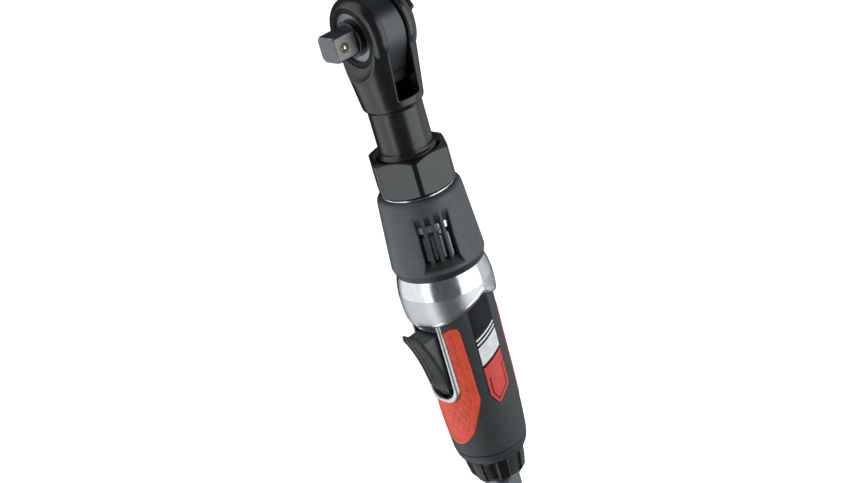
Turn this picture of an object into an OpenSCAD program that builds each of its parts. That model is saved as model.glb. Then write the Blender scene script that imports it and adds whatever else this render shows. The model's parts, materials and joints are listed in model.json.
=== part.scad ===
// Air ratchet wrench with a half-inch square drive, as separate pieces.
// The origin is on the drive axis at the shoulder of the square. The drive points
// along -Y, the handle runs along +X, and the side with the visible badge is +Z.

/* [Drive] */
// Width across the flats of the square drive
square_size = 12.7; // [12.4:0.1:12.8]
// Length of the square drive
square_length = 12.5; // [10:0.5:14]
// Distance from the tool's long axis to the shoulder of the square
drive_reach = 15; // [14.8:0.1:15.5]
// Number of internal teeth in the ratchet yoke
yoke_teeth = 72; // [60:4:80]

/* [Head] */
// Radius of the round head about the drive axis
head_r = 19.3; // [19:0.1:19.6]
// Distance from the long axis to the head's front face
front_face = 13; // [12.9:0.1:13.2]
// Distance from the long axis to the head's back face
back_face = 14; // [14:0.1:14.4]
// Width of the slot between the two ears
slot_w = 13; // [13:0.1:13.2]
// Radius of the neck below the head
neck_r = 13.65; // [13.3:0.05:14.2]

/* [Clamp nut] */
// Width across the flats of the clamp nut
nut_flats = 37.7; // [37.4:0.1:38.6]
// Radius that the nut's corners are turned to
nut_corner_r = 20.7; // [20:0.1:21]

/* [Exhaust boot] */
// Radius of the boot just below its rounded shoulder
boot_top_r = 21.6; // [21.4:0.1:22]
// Radius of the boot at its wide end
boot_end_r = 24.1; // [23.5:0.1:24.5]

/* [Grip] */
// Radius of the grip sleeve at its front end
grip_r = 21.9; // [21.6:0.1:22.2]
// Where the grip sleeve ends
grip_end = 231.5; // [230:0.5:232]
// Radius of the aluminium core under the sleeve
core_r = 19; // [18.8:0.1:19.2]

/* [Lever] */
// Half width of the throttle lever
lever_half = 7.7; // [7.2:0.1:8]
// Half width of the pocket that the lever sits in
pocket_half = 9.05; // [8.9:0.05:9.3]

/* [Air inlet] */
// Width across the flats of the inlet hexagon
inlet_flats = 17; // [17:0.1:17.6]
// Radius of the inlet thread's crest, for a quarter-inch pipe thread
inlet_r = 5.72; // [5.6:0.01:5.8]
// Depth of the inlet thread
inlet_depth = 12; // [11:0.5:12]
// End of the inlet, measured from the drive axis
tool_end = 264.5; // [264:0.5:266]

/* [Gears] */
// Gear module
gear_m = 0.55; // [0.55]
// Teeth on the rotor's pinion
sun_teeth = 12; // [12]
// Teeth on each planet gear
planet_teeth = 15; // [15]

/* [Hidden] */
$fn = 64;
run = 0.05;             // radial clearance of a running fit
through = 40;           // longer than anything that a prism has to cut through
gap = 0.3;              // clearance between pieces that pass each other
slot_half = slot_w / 2;
slot_end = 33.5;        // where the slot between the ears stops
head_end = 39.2;        // where the head meets the neck
spot_r = 17.3;          // radius of the flat milled round the drive
ball_down = 7.3;        // from the shoulder to the detent ball
ball_r = 2;
ball_out = 5.05;        // height of the ball's centre over the drive axis
anvil_shaft_r = 9;      // round shoulder behind the square
drum_r = 12.5;          // part of the anvil that carries the pawls
drum_back = 9;
stub_r = 8;             // anvil's stub in the back ear
head_edge = [4.2, 6.4]; // rounding of the head's rim, inwards and along the drive
washer_top = 11.7;      // front of the thrust washer
ledge = 9.5;            // ledge in the front ear that the washer sits on
yoke_r = 17.5;
yoke_half = slot_half - gap;
tooth_tip_r = drum_r + 0.4;
fork_half = 7.3;        // half the gap between the yoke's fork arms
fork_end = 32.8;
crank_offset = 1.3;     // eccentricity of the crank pin
crank_pin_r = 3.2;
bushing_r = 4.2;
journal_r = 8;          // crankshaft journal
carrier_r = 12.4;       // carrier that holds the planet gears
needle_r = 1.1;
needles = 14;
neck_bore = 11;
pawl_pin_place = [-4.6, 8.6];  // pin of a pawl, along and across the tool
pawl_pin_r = 1.3;
pawl_tilt = 4;
pawl_floor = 6.1;       // flat floor of a pawl's pocket, from the drive axis
selector_r = 3.5;
knob_r = 12.9;
ring_teeth = sun_teeth + 2 * planet_teeth;
planet_place = gear_m * (sun_teeth + planet_teeth) / 2;
pressure_angle = 25;
gear_slack = 0.05;      // taken off each flank of a tooth
planet_pin_r = 1.6;
ring_r = 13.9;          // outside of the ring gear
flange_x = 66;          // collar of the head's housing under the clamp nut
spigot_r = 15.85;
housing_bore = 15.9;
thread_r = 17.4;        // outside of the housing's thread, inside of the nut
gears_x = 72;
motor_x = 84;           // front of the motor
cylinder_x = 92;
cylinder_end = 132;
motor_end = 139;
cylinder_bore = 12.9;
cylinder_offset = 1.1;
rotor_r = 11.5;
vane_count = 6;
vane_t = 1.6;
vane_phi = 15;          // angle of the first vane
dowel_r = 1;
dowel_z = 14.2;
port_r = 1.5;           // exhaust ports of the cylinder
ports_x = [103, 107.3, 111.6];
boot_bore = 20;
window_phi = 60;        // middle of each exhaust window, from -Y towards +Z
window_phis = [-window_phi, window_phi];
window_x = [103.5, 116];
slot_step = 12.6;       // angle between the exhaust slots
slot_width = 2.7;
edge_peak = [142.2, 3.6];      // highest point of the sleeve's arched edge
edge_front = [155.5, -27];
edge_back = [154.5, 27];
pocket_x = [153, 195];
sleeve_x = 140;         // front end of the sleeve's profile
core_x = 130;
core_neck_r = 16;       // end of the core, inside the collar
insert_r = 20;          // bottom of the inserts' recesses
pocket_floor = 11;
rim_r = 22.5;
rim_wall = 1.9;
hinge = [189, -17.5];
hinge_pin_r = 1.5;
lever_wall = 1.4;
pin_x = 176;            // throttle pin
push_pin_r = 1.45;
push_bushing_r = 3.2;
seat_x = 199.8;         // face that the throttle valve closes on
chamber_r = 8;
valve_r = 5.5;
passage_r = 5;
bushing_x = 224;        // inner end of the inlet bushing
core_end = 236;
inlet_shank_r = 10;
inlet_journal_r = 10.45;
knob_x = [238.6, 252];
knob_pads = 7;
pad_phi = 38;           // angle of the first finger pad

// ---- placing ----

// Puts a piece drawn about the tool's long axis into the part's own frame.
module on_tool() translate([0, drive_reach, 0]) children();

// Turns +Z into the long axis, with the child's +X at angle phi from -Y towards +Z.
module along(x = 0, phi = 0)
    translate([x, 0, 0]) rotate([0, 90, 0]) rotate(-90 - phi) children();

// Turns +Z into the drive's direction, -Y, with the child's +Y towards +Z.
module facing(y = 0) translate([0, -y, 0]) rotate([90, 0, 0]) children();

module tube(r_out, r_in, h) difference() {
    cylinder(r = r_out, h = h);
    translate([0, 0, -1]) cylinder(r = r_in, h = h + 2);
}

// A prism through the tool, drawn as seen from the +Z side, with x and y as they are.
module side_prism(z0, z1) translate([0, 0, z0]) linear_extrude(z1 - z0) children();

// A prism through the tool, drawn as seen from the lever's side, with x and z as they are.
module front_prism(y0, y1) facing(-y1) linear_extrude(y1 - y0) children();

// Points of a quarter ellipse that rounds a corner, from the side to the end.
function corner(r, h, a, b, n = 6) =
    [for (i = [0:n]) let (t = 90 * i / n) [r - a + a * cos(t), h - b + b * sin(t)]];

module coil(r1, r2, wire, turns, h, sides = 6, steps = 14) {
    n = round(turns * steps);
    ring = [for (i = [0:n]) let (u = i / n, t = 360 * turns * u, r = r1 + (r2 - r1) * u)
        for (k = [0:sides - 1]) let (q = 360 * k / sides, d = r + wire * cos(q))
            [d * cos(t), d * sin(t), wire + (h - 2 * wire) * u + wire * sin(q)]];
    sides_of = [for (i = [0:n - 1]) for (k = [0:sides - 1]) let (j = (k + 1) % sides)
        for (f = [[i * sides + k, (i + 1) * sides + k, (i + 1) * sides + j],
                  [i * sides + k, (i + 1) * sides + j, i * sides + j]]) f];
    first = [for (k = [0:sides - 1]) k];
    last = [for (k = [sides - 1:-1:0]) n * sides + k];
    polyhedron(points = ring, faces = concat(sides_of, [first, last]));
}

module o_ring(r, wire) rotate_extrude() translate([r, 0]) circle(r = wire, $fn = 24);

// ---- gear teeth ----

function inv(r, base) =
    r <= base ? 0 : let (a = sqrt(pow(r / base, 2) - 1)) a * 180 / PI - atan(a);

// Outline with a tooth centred on angle 0. A positive slack makes the teeth thinner.
function gear_outline(n, root, tip, slack) = let (
    pitch = n * gear_m / 2,
    base = pitch * cos(pressure_angle),
    half = 90 / n - slack / pitch * 180 / PI + inv(pitch, base),
    radii = [root, (root + pitch) / 2, pitch, (pitch + tip) / 2, tip]
) [for (k = [0:n - 1]) each concat(
    [for (i = [0:4]) let (a = 360 * k / n - half + inv(radii[i], base))
        radii[i] * [cos(a), sin(a)]],
    [for (i = [4:-1:0]) let (a = 360 * k / n + half - inv(radii[i], base))
        radii[i] * [cos(a), sin(a)]]
)];

module gear(n) polygon(gear_outline(
    n, n * gear_m / 2 - 1.2 * gear_m, n * gear_m / 2 + 0.9 * gear_m, gear_slack));

module bearing(bore, outer, width, balls, ball_r) {
    middle = (bore + outer) / 2;
    wall = (outer - bore) * 0.26;
    difference() {
        union() {
            tube(outer, outer - wall, width);
            tube(bore + wall, bore, width);
        }
        translate([0, 0, width / 2])
            rotate_extrude() translate([middle, 0]) circle(r = ball_r + 0.1, $fn = 24);
    }
    for (i = [0:balls - 1])
        rotate(360 * i / balls) translate([middle, 0, width / 2]) sphere(r = ball_r, $fn = 24);
}

// ---- ratchet head ----

module head_blank() {
    disc = concat(
        [[0, front_face]], [for (p = corner(head_r, front_face, head_edge[0], head_edge[1])) p],
        [for (p = corner(head_r, back_face, head_edge[0], head_edge[1])) [p[0], -p[1]]], [[0, -back_face]]);
    body = concat([[0, 3], [19.4, 3], [15.6, 36.2]], corner(15.45, head_end, 1.8, 2), [[0, head_end]]);
    facing() rotate_extrude($fn = 96) polygon(concat(
        [disc[0]], [for (i = [7:-1:1]) disc[i]], [for (i = [8:14]) disc[i]], [disc[15]]));
    along() rotate_extrude($fn = 96) polygon(body);
    along(head_end - 2) cylinder(r = neck_r, h = flange_x - head_end + 2);
    along(61) cylinder(r1 = neck_r, r2 = 15, h = 2.5);
    along(63.5) cylinder(r = 15, h = 7);
    along(flange_x) cylinder(r = 17.2, h = 4);
    along(69) cylinder(r = spigot_r, h = motor_x - 69 - 0.1);
}

module ratchet_housing() color("#1f1e1d") on_tool() difference() {
    head_blank();
    // flats milled round the drive and the reverse knob
    facing(front_face) cylinder(r1 = spot_r, r2 = spot_r + 9, h = 9);
    facing(-back_face) mirror([0, 0, 1]) cylinder(r1 = spot_r, r2 = spot_r + 9, h = 9);
    // slot between the ears
    translate([-40, -slot_half, -30]) cube([40 + slot_end, slot_w, 60]);
    // front ear: washer and ring recess, then the bore for the anvil's drum
    facing(ledge) cylinder(r = 14.9, h = 9);
    facing(slot_half - 1) cylinder(r = drum_r + run, h = 9);
    // back ear: drum bore, stub bore and the recess for the reverse knob
    facing(-10) cylinder(r = drum_r + run, h = 9);
    facing(-20) cylinder(r = stub_r + run, h = 12);
    facing(-back_face - 4) cylinder(r = knob_r + 0.4, h = 4 + back_face - 12);
    // crank chamber, bearing bore, carrier chamber and ring gear bore
    along(slot_end - 8) cylinder(r = neck_bore, h = 40);
    along(60.5) cylinder(r = carrier_r + 0.5, h = 14);
    along(gears_x - 0.2) cylinder(r = ring_r, h = 20);
}

module ratchet_yoke() color("#3a3b3d") on_tool() facing(-yoke_half) difference() {
    union() {
        cylinder(r = yoke_r, h = 2 * yoke_half);
        linear_extrude(2 * yoke_half) polygon([[0, 16.9], [8, 15.2], [17, 11.6], [fork_end, 10.6],
            [fork_end, -10.6], [17, -11.6], [8, -15.2], [0, -16.9]]);
    }
    translate([0, 0, -1]) linear_extrude(2 * yoke_half + 2)
        polygon([for (i = [0:2 * yoke_teeth - 1]) let (a = 180 * i / yoke_teeth)
            (tooth_tip_r + (i % 2 == 0 ? 0.9 : 0)) * [cos(a), sin(a)]]);
    translate([20.5, -fork_half, -1]) cube([20, 2 * fork_half, 2 * yoke_half + 2]);
}

// ---- anvil, its detent and its pawls ----

module square_bar(h) {
    worn = square_size / 2 - 0.45;
    intersection() {
        translate([-square_size / 2, -square_size / 2, 0]) cube([square_size, square_size, h]);
        cylinder(r = 8.35, h = h);
        translate([0, 0, h]) rotate([180, 0, 0])
            cylinder(r1 = 7.5, r2 = 7.5 + 2 * h, h = h);
    }
    cylinder(r = worn, h = h - 0.2);
}

module anvil() color("#77787c") on_tool() difference() {
    union() {
        facing(drive_reach - 1) square_bar(square_length + 1);
        facing(ledge - 1) cylinder(r = anvil_shaft_r, h = drive_reach - ledge + 1);
        facing(-drum_back) cylinder(r = drum_r, h = drum_back + ledge - gap);
        facing(-11.7) cylinder(r = stub_r, h = 4);
    }
    // bore for the selector shaft
    facing(-20) cylinder(r = selector_r + run, h = 25.5);
    // bore for the detent ball and its spring
    translate([0, -drive_reach - ball_down, -1.2]) cylinder(r = ball_r + run, h = 20);
    // pockets for the pawls
    for (turn = [0, 180]) facing(-6) rotate(turn)
        translate([-8.2, pawl_floor, 0]) cube([16.8, 8, 12]);
    // holes for the pawl pins
    for (s = [-1, 1]) facing(-8) translate([s * pawl_pin_place[0], s * pawl_pin_place[1], 0])
        cylinder(r = pawl_pin_r, h = 16);
}

module detent_ball() color("#d9dadb") on_tool()
    translate([0, -drive_reach - ball_down, ball_out]) sphere(r = ball_r, $fn = 48);

module detent_spring() color("#b9bbbd") on_tool()
    translate([0, -drive_reach - ball_down, -1.1]) coil(1.35, 1.35, 0.3, 3.5, 4.1);

module thrust_washer() color("#6d6f72") on_tool()
    facing(ledge) tube(14.8, anvil_shaft_r + 0.25, washer_top - ledge);

module retaining_ring() color("#2b2b2c") on_tool() facing(washer_top) difference() {
    tube(14.85, 12.4, 1.05);
    rotate(-40) translate([10, -1.6, -1]) cube([10, 3.2, 4]);
}

module friction_spring() color("#a9abad") on_tool() facing(-9.95) tube(12.3, 8.3, 0.8);

module pawl_shape() difference() {
    intersection() {
        circle(r = 12.65, $fn = 96);
        translate([-7.2, 7.2]) square([14.6, 6]);
    }
    translate(pawl_pin_place) circle(r = pawl_pin_r + run);
    // teeth that face the yoke
    for (a = [52:5:72]) rotate(a) translate([12.75, 0]) rotate(45)
        translate([-0.45, -0.45]) square(0.9);
}

module pawl(turn, tilt) facing(-5.7) rotate(turn) linear_extrude(11.4)
    translate(pawl_pin_place) rotate(tilt) translate(-pawl_pin_place) pawl_shape();

module pawl_forward() color("#8a8c8f") on_tool() pawl(0, 0);
module pawl_reverse() color("#8a8c8f") on_tool() pawl(180, -pawl_tilt);

module pawl_pins() color("#c9cbcd") on_tool()
    for (s = [-1, 1]) facing(-7.9) translate([s * pawl_pin_place[0], s * pawl_pin_place[1], 0])
        cylinder(r = pawl_pin_r, h = 15.8);

// two short springs, one in each pawl pocket beside the pawl's free end
module pawl_springs() color("#b9bbbd") on_tool()
    for (s = [-1, 1]) facing(-3) translate([s * 8.05, s * 8.6, 0])
        coil(0.32, 0.32, 0.12, 6, 6, 6, 8);

module selector_shaft() color("#6d6f72") on_tool() difference() {
    facing(-12.4) cylinder(r = selector_r, h = 17.4);
    // flats that free one pawl at a time
    for (s = [-1, 1]) translate([-5, -4, s * 4.2 - 1.2]) cube([10, 8, 2.4]);
}

module reverse_knob() color("#262626") on_tool() {
    facing(-16.4) cylinder(r = knob_r, h = 16.4 - 12.4);
    // thumb bar across the knob, and the tab at its end
    facing(-18.4) rotate(120) linear_extrude(18.4 - back_face - gap) intersection() {
        translate([-11.4, -2.6]) square([27.2, 5.2]);
        translate([2.1, 0]) circle(r = 13.7);
    }
}

// ---- crank and planetary gears ----

module crankshaft() color("#8f9194") on_tool() difference() {
    union() {
        along(37) cylinder(r = journal_r, h = 25);
        translate([22.5, -crank_offset, 0]) along() cylinder(r = crank_pin_r, h = 16);
        along(61.5) cylinder(r = carrier_r, h = gears_x - 0.3 - 61.5);
    }
    along(66) cylinder(r = 4.6, h = 9);
    for (i = [0:2]) along(64, 120 * i) translate([planet_place, 0, 0])
        cylinder(r = planet_pin_r, h = 20);
}

module drive_bushing() color("#a8894f") on_tool()
    translate([23, -crank_offset, 0]) along() tube(bushing_r, crank_pin_r + run, 10);

module crank_bearing() color("#b4b6b8") on_tool() along(43) {
    tube(neck_bore, 10.4, 15);
    for (i = [0:needles - 1]) rotate(360 * i / needles) translate([9.22, 0, 0.8])
        cylinder(r = needle_r, h = 13.4, $fn = 24);
}

module planet_gear(i) color("#9a9c9f") on_tool() along(gears_x, 120 * i)
    translate([planet_place, 0, 0]) linear_extrude(9) difference() {
        gear(planet_teeth);
        circle(r = planet_pin_r + run);
    }
module planet_gear_1() planet_gear(0);
module planet_gear_2() planet_gear(1);
module planet_gear_3() planet_gear(2);

module planet_pins() color("#c9cbcd") on_tool()
    for (i = [0:2]) along(64.1, 120 * i) translate([planet_place, 0, 0])
        cylinder(r = planet_pin_r, h = 17.6);

module ring_gear() color("#7c7e81") on_tool() along(gears_x) linear_extrude(10) difference() {
    circle(r = ring_r, $fn = 96);
    polygon(gear_outline(ring_teeth, ring_teeth * gear_m / 2 - 0.8 * gear_m,
        ring_teeth * gear_m / 2 + 1.25 * gear_m, -gear_slack));
}

module gear_spacer() color("#9a9c9f") on_tool() along(gears_x + 10.1) tube(13.8, 5, 1.6);

// ---- air motor ----

module front_end_plate() color("#8f9194") on_tool() difference() {
    along(motor_x) cylinder(r = spigot_r, h = cylinder_x - motor_x);
    along(motor_x - 1) cylinder(r = 11, h = 8.5);
    along(motor_x) cylinder(r = 6, h = 20);
    dowel_holes();
}

module front_bearing() color("#c2c4c6") on_tool() along(motor_x + 0.4) bearing(4, 11, 7, 7, 1.9);

// Exhaust slots, each given by its place in steps from the middle of a window.
module exhaust_cut(places, r, x0, x1) for (p = window_phis, i = places)
    along(x0, p + i * slot_step) translate([r, -slot_width / 2, 0]) cube([9, slot_width, x1 - x0]);

module motor_cylinder() color("#b4b6b8") on_tool() difference() {
    along(cylinder_x) cylinder(r = spigot_r, h = cylinder_end - cylinder_x);
    translate([0, -cylinder_offset, 0]) along(cylinder_x - 1)
        cylinder(r = cylinder_bore, h = cylinder_end - cylinder_x + 2);
    for (p = window_phis, x = ports_x) along(x, p)
        translate([10, 0, 0]) rotate([0, 90, 0]) cylinder(r = port_r, h = 10, $fn = 24);
}

module rotor() color("#a2a4a6") on_tool() difference() {
    union() {
        along(gears_x - 0.2) linear_extrude(12) gear(sun_teeth);
        along(motor_x - 0.4) cylinder(r = 3.96, h = 10);
        along(cylinder_x + 0.3) cylinder(r = rotor_r, h = cylinder_end - cylinder_x - 0.6);
        along(cylinder_end - 1) cylinder(r = 2.96, h = motor_end - cylinder_end + 0.6);
    }
    for (i = [0:vane_count - 1]) along(cylinder_x, 360 * i / vane_count + vane_phi)
        translate([4.7, -vane_t / 2 - 0.05, -1]) cube([10, vane_t + 0.1, 45]);
}

module rotor_vanes() color("#6b4a2a") on_tool()
    for (i = [0:vane_count - 1]) along(cylinder_x + 0.4, 360 * i / vane_count + vane_phi)
        translate([4.8, -vane_t / 2, 0])
            cube([rotor_r - 4.9, vane_t, cylinder_end - cylinder_x - 0.8]);

module dowel_holes() for (s = [-1, 1])
    translate([0, 0, s * dowel_z]) along(motor_x) cylinder(r = dowel_r, h = 60, $fn = 24);

module rear_end_plate() color("#8f9194") on_tool() difference() {
    along(cylinder_end) cylinder(r = spigot_r, h = motor_end - cylinder_end);
    along(cylinder_end + 1) cylinder(r = 9.5, h = 10);
    along(cylinder_end - 1) cylinder(r = 5, h = 5);
    // kidney ports that let the air into the cylinder
    for (p = [150, 210]) along(cylinder_end - 1, p) translate([12, 0, 0]) cylinder(r = 1.6, h = 12);
}

module rear_bearing() color("#c2c4c6") on_tool()
    along(cylinder_end + 1) bearing(3, 9.5, 5.9, 7, 1.7);

// dowels that hold the cylinder's place on the front end plate
module motor_dowels() color("#c9cbcd") on_tool() for (s = [-1, 1])
    translate([0, 0, s * dowel_z]) along(motor_x + 0.1)
        cylinder(r = dowel_r, h = cylinder_x - motor_x - 0.1, $fn = 24);

// ---- casings ----

// Outer radius of the grip sleeve, raised by extra.
function grip_profile(extra) = [
    [grip_r + extra, sleeve_x], [grip_r - 0.1 + extra, 155], [grip_r - 0.45 + extra, 175],
    [grip_r - 0.7 + extra, 197], [grip_r - 1.2 + extra, 213], [grip_r - 1.8 + extra, 225],
    [grip_r - 2.3 + extra, grip_end]
];

module grip_shell(r_in, extra = 0) along() rotate_extrude($fn = 96)
    polygon(concat([[r_in, sleeve_x]], grip_profile(extra), [[r_in, grip_end]]));

// Everything behind the arched front edge of the sleeve, as seen from the side.
module behind_edge(shift = 0) side_prism(-through, through) translate([shift, 0]) polygon([
    edge_front, [edge_peak[0] + 1.6, edge_peak[1] - 3.6], [edge_peak[0] + 0.4, edge_peak[1] - 1.4],
    edge_peak, [edge_peak[0] + 0.5, edge_peak[1] + 1.3], [edge_peak[0] + 1.6, edge_peak[1] + 3.2],
    edge_back, [260, 30], [260, -30]
]);

// Plan of the lever pocket and its rim: straight sides and a rounded end.
module pocket_plan(grow = 0) {
    half = pocket_half + grow;
    end = pocket_x[1] + grow;
    polygon(concat([[pocket_x[0], -half], [pocket_x[0], half]],
        [for (t = [90:-15:-90]) [end - 7 + 7 * cos(t), (half - 7) * sign(t) + 7 * sin(t)]]));
}

// Plan of the red insert round the lever, with its tapered end.
module insert_plan(grow = 0) {
    half = [[156.2, 12], [157.2, 16], [159.5, 17.5], [198, 17.5], [203, 16.6], [211, 14.4],
        [217, 12.2], [220.5, 9.4], [223.2, 5.4], [224.5, 1.8]];
    polygon(concat([for (p = half) [p[0], p[1] + grow]],
        [for (i = [len(half) - 1:-1:0]) [half[i][0], -half[i][1] - grow]]));
}

module back_plan() polygon([
    [157, -11], [159.5, -14.3], [205, -14.3], [211.5, -12.4], [215.5, -8], [217, 0],
    [215.5, 8], [211.5, 12.4], [205, 14.3], [159.5, 14.3], [157, 11]
]);

module motor_housing() color("#c6c9cb") on_tool() {
    outside = concat(
        [[0, 70.2], [thread_r - 0.6, 70.2], [thread_r, 71], [thread_r, 82.7], [18.7, 82.7], [18.7, 85.4],
         [boot_bore - 0.05, 86.5], [boot_bore - 0.05, 123.6], [22.4, 123.6], [22.4, 126.5], [22.8, 127]],
        [for (i = [0:7]) let (t = i / 7) [22.8 + 1.75 * sin(90 * t), 127 + 11 * t]],
        [[24.5, 142], [24.15, 147], [23.4, 152], [22.3, 157], [21.6, 160], [0, 160]]);
    difference() {
        union() {
            difference() {
                along() rotate_extrude($fn = 96) polygon(outside);
                // step down to the core under the sleeve
                difference() {
                    behind_edge();
                    along(core_x) cylinder(r = core_r, h = 60);
                }
            }
            along(core_x) cylinder(r = core_r, h = grip_end - core_x);
            along(grip_end - 1) cylinder(r = core_neck_r, h = core_end - grip_end + 1);
            // raised rim round the lever
            intersection() {
                along(140) cylinder(r = rim_r, h = 60);
                front_prism(-30, 0) pocket_plan(rim_wall);
            }
        }
        // lever pocket
        front_prism(-through, -pocket_floor) pocket_plan();
        // motor bore
        along(60) cylinder(r = housing_bore, h = motor_end + 1 - 60);
        // exhaust slots, with the bars between them behind the boot's slots
        exhaust_cut([-2:2], 14, window_x[0] - 1, window_x[1] + 1);
        // air passage, valve chamber and the inlet's bore
        along(motor_end) cylinder(r = passage_r, h = 60);
        along(seat_x - 4.3) cylinder(r = chamber_r + run, h = 40);
        along(bushing_x - 0.3) cylinder(r = inlet_shank_r + run, h = 20);
        // hole for the throttle bushing
        translate([pin_x, 0, 0]) facing(2) cylinder(r = push_bushing_r, h = 20);
        // holes for the lever's pin
        translate([hinge[0], hinge[1], -10.7]) cylinder(r = hinge_pin_r, h = 21.4);
    }
}

module clamp_nut() color("#232221") on_tool() difference() {
    intersection() {
        along(62.5, 59) cylinder(r = nut_flats / 2 / cos(30), h = 20, $fn = 6);
        along(62.5) rotate_extrude($fn = 96) polygon([[0, 0], [18.4, 0], [nut_corner_r, 1.8],
            [nut_corner_r, 18.2], [18.5, 20], [0, 20]]);
    }
    along(60) cylinder(r = 15.2, h = 30);
    along(62) cylinder(r1 = 17.6, r2 = 15.2, h = 2.4);
    along(flange_x - 0.05) cylinder(r = thread_r + run, h = 30);
}

module exhaust_boot() color("#56585c") on_tool() difference() {
    along() rotate_extrude($fn = 96) polygon(concat(
        [[18.75, 83.6], [19.4, 83.5]],
        [for (i = [1:6]) let (t = 15 * i) [19.4 + (boot_top_r - 19.4) * sin(t), 87.6 - 4.1 * cos(t)]],
        [[boot_end_r, 122], [22.8, 126.3], [22.5, 126.3], [22.5, 123.4], [boot_bore, 123.4],
         [boot_bore, 86.5], [18.75, 85.4]]));
    // slots over the housing's exhaust slots
    exhaust_cut([-1.5:1.5], 17, window_x[0], window_x[1]);
    // sunk panel round the slots
    for (p = window_phis) along(91, p) translate([21.6, -9.4, 0]) rotate([0, 4, 0]) cube([6, 18.8, 25]);
}

module grip_sleeve() color("#3b3d3f") on_tool() difference() {
    intersection() {
        grip_shell(core_r + 0.02);
        behind_edge(0.05);
    }
    front_prism(-through, 0) pocket_plan(rim_wall + 0.05);
    difference() {
        front_prism(-through, 0) insert_plan(0.03);
        along(core_x) cylinder(r = insert_r, h = 120);
    }
    difference() {
        front_prism(0, through) back_plan();
        along(core_x) cylinder(r = insert_r, h = 120);
    }
}

module grip_insert_front() color("#d6503a") on_tool() difference() {
    intersection() {
        grip_shell(insert_r + 0.02, 0.05);
        front_prism(-through, 0) insert_plan();
        behind_edge(0.3);
    }
    front_prism(-through, 0) pocket_plan(rim_wall + 0.1);
}

module grip_insert_back() color("#d6503a") on_tool() intersection() {
    grip_shell(insert_r + 0.02, 0.25);
    front_prism(0, through) back_plan();
}

module badge(side) on_tool() intersection() {
    grip_shell(grip_r - 2.9, 0.3);
    difference() {
        cube([600, 100, 100], center = true);
        grip_shell(0, 0.02);
    }
    behind_edge(0.8);
    side_prism(side > 0 ? 0 : -through, side > 0 ? through : 0)
        polygon([[140, -6.7], [196.8, -7], [203, -4], [203, -1.4], [196, 7.1], [140, 7.6]]);
}
module badge_right() color("#1c1c1c") badge(1);
module badge_left() color("#1c1c1c") badge(-1);

// ---- throttle ----

module lever_outline() polygon([
    [156.3, -30.6], [158.6, -29.6], [166, -26.8], [177, -23.8], [188, -22], [192.5, -20.9],
    [193.2, -18.6], [192, -15.6], [189, -14.6], [180, -14.8], [160, -16.2], [157.4, -17.6],
    [156.4, -22], [154.9, -28.6], [155.2, -30.2]
]);

module throttle_lever() color("#1b1b1b") on_tool() difference() {
    intersection() {
        side_prism(-lever_half, lever_half) lever_outline();
        front_prism(-through, 0) pocket_plan(lever_half - pocket_half);
    }
    // hollow underside, with a solid boss over the throttle pin and one round the hinge pin
    difference() {
        side_prism(lever_wall - lever_half, lever_half - lever_wall)
            polygon([[158.6, -24.4], [166, -24.6], [177, -21.7], [184.8, -20], [184.8, -10], [158.6, -10]]);
        translate([pin_x - 3.2, -30, -3]) cube([6.4, 14.4, 6]);
    }
    translate([hinge[0], hinge[1], -20]) cylinder(r = hinge_pin_r + run, h = 40);
    // grooves across the thumb face
    for (z = [-5.2:2.6:5.2]) side_prism(z - 0.5, z + 0.5)
        polygon([[157.4, -31], [157.4, -29.1], [166, -25.9], [177, -22.9], [187, -21.2], [187, -31]]);
}

module lever_pin() color("#c9cbcd") on_tool()
    translate([hinge[0], hinge[1], -10.6]) cylinder(r = hinge_pin_r, h = 21.2);

module throttle_pin() color("#c9cbcd") on_tool() translate([pin_x, 0, 0]) {
    facing(1.45) cylinder(r = push_pin_r, h = 13);
    facing(13.3) cylinder(r = 2.3, h = 1.3);
    facing(14.6) cylinder(r1 = 2.3, r2 = 1.4, h = 0.6);
}

module throttle_bushing() color("#a8894f") on_tool() translate([pin_x, 0, 0]) difference() {
    facing(passage_r + 0.2) tube(push_bushing_r, push_pin_r + run, pocket_floor - passage_r - 0.2);
    facing(9) cylinder(r = 2.5, h = 4);
}

module pin_seal() color("#151515") on_tool()
    translate([pin_x, -9.9, 0]) rotate([90, 0, 0]) o_ring(2, 0.48);

module throttle_valve() color("#b8924e") on_tool() {
    along(171) cylinder(r = 1.3, h = seat_x - 171 + 1);
    along(seat_x + 0.1) cylinder(r = valve_r, h = 2.4);
    along(seat_x + 2) cylinder(r = 3, h = 3);
}

module valve_seat() color("#a8894f") on_tool() difference() {
    along(seat_x - 4.2) tube(chamber_r, 3.6, 4.2);
    along(seat_x - 1) tube(5.3, 4.1, 2);
}

module valve_seal() color("#151515") on_tool() along(seat_x - 0.5) o_ring(4.7, 0.49);

module valve_spring() color("#b9bbbd") on_tool()
    along(seat_x + 2.7) coil(4, 6.3, 0.5, 5, bushing_x - seat_x - 2.9);

// ---- air inlet ----

module rear_collar() color("#343638") on_tool() difference() {
    along() rotate_extrude($fn = 96) polygon([[10.7, grip_end + 0.4], [grip_r - 2.45, grip_end + 0.4],
        [18.6, 235.4], [17.4, 237.7], [16.8, 238.2], [10.7, 238.2]]);
    along(230) cylinder(r = core_neck_r + 0.03, h = core_end + 0.1 - 230);
}

module regulator_knob() color("#222222") on_tool() difference() {
    along() rotate_extrude($fn = 96) polygon([[inlet_journal_r + run, knob_x[0]], [15.9, knob_x[0]],
        [16.4, 239.2], [16.2, 241.8], [15.3, 247.4], [14.75, 250.4], [13.6, 251.6], [12.6, knob_x[1]],
        [inlet_journal_r + run, knob_x[1]]]);
    // sunk finger pads between the smooth panels
    for (i = [0:knob_pads - 1]) along(knob_x[0] + 1.2, 360 * i / knob_pads + pad_phi)
        translate([15.6, -3.6, 0]) rotate([0, -9, 0]) cube([4, 7.2, 10]);
}

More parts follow.
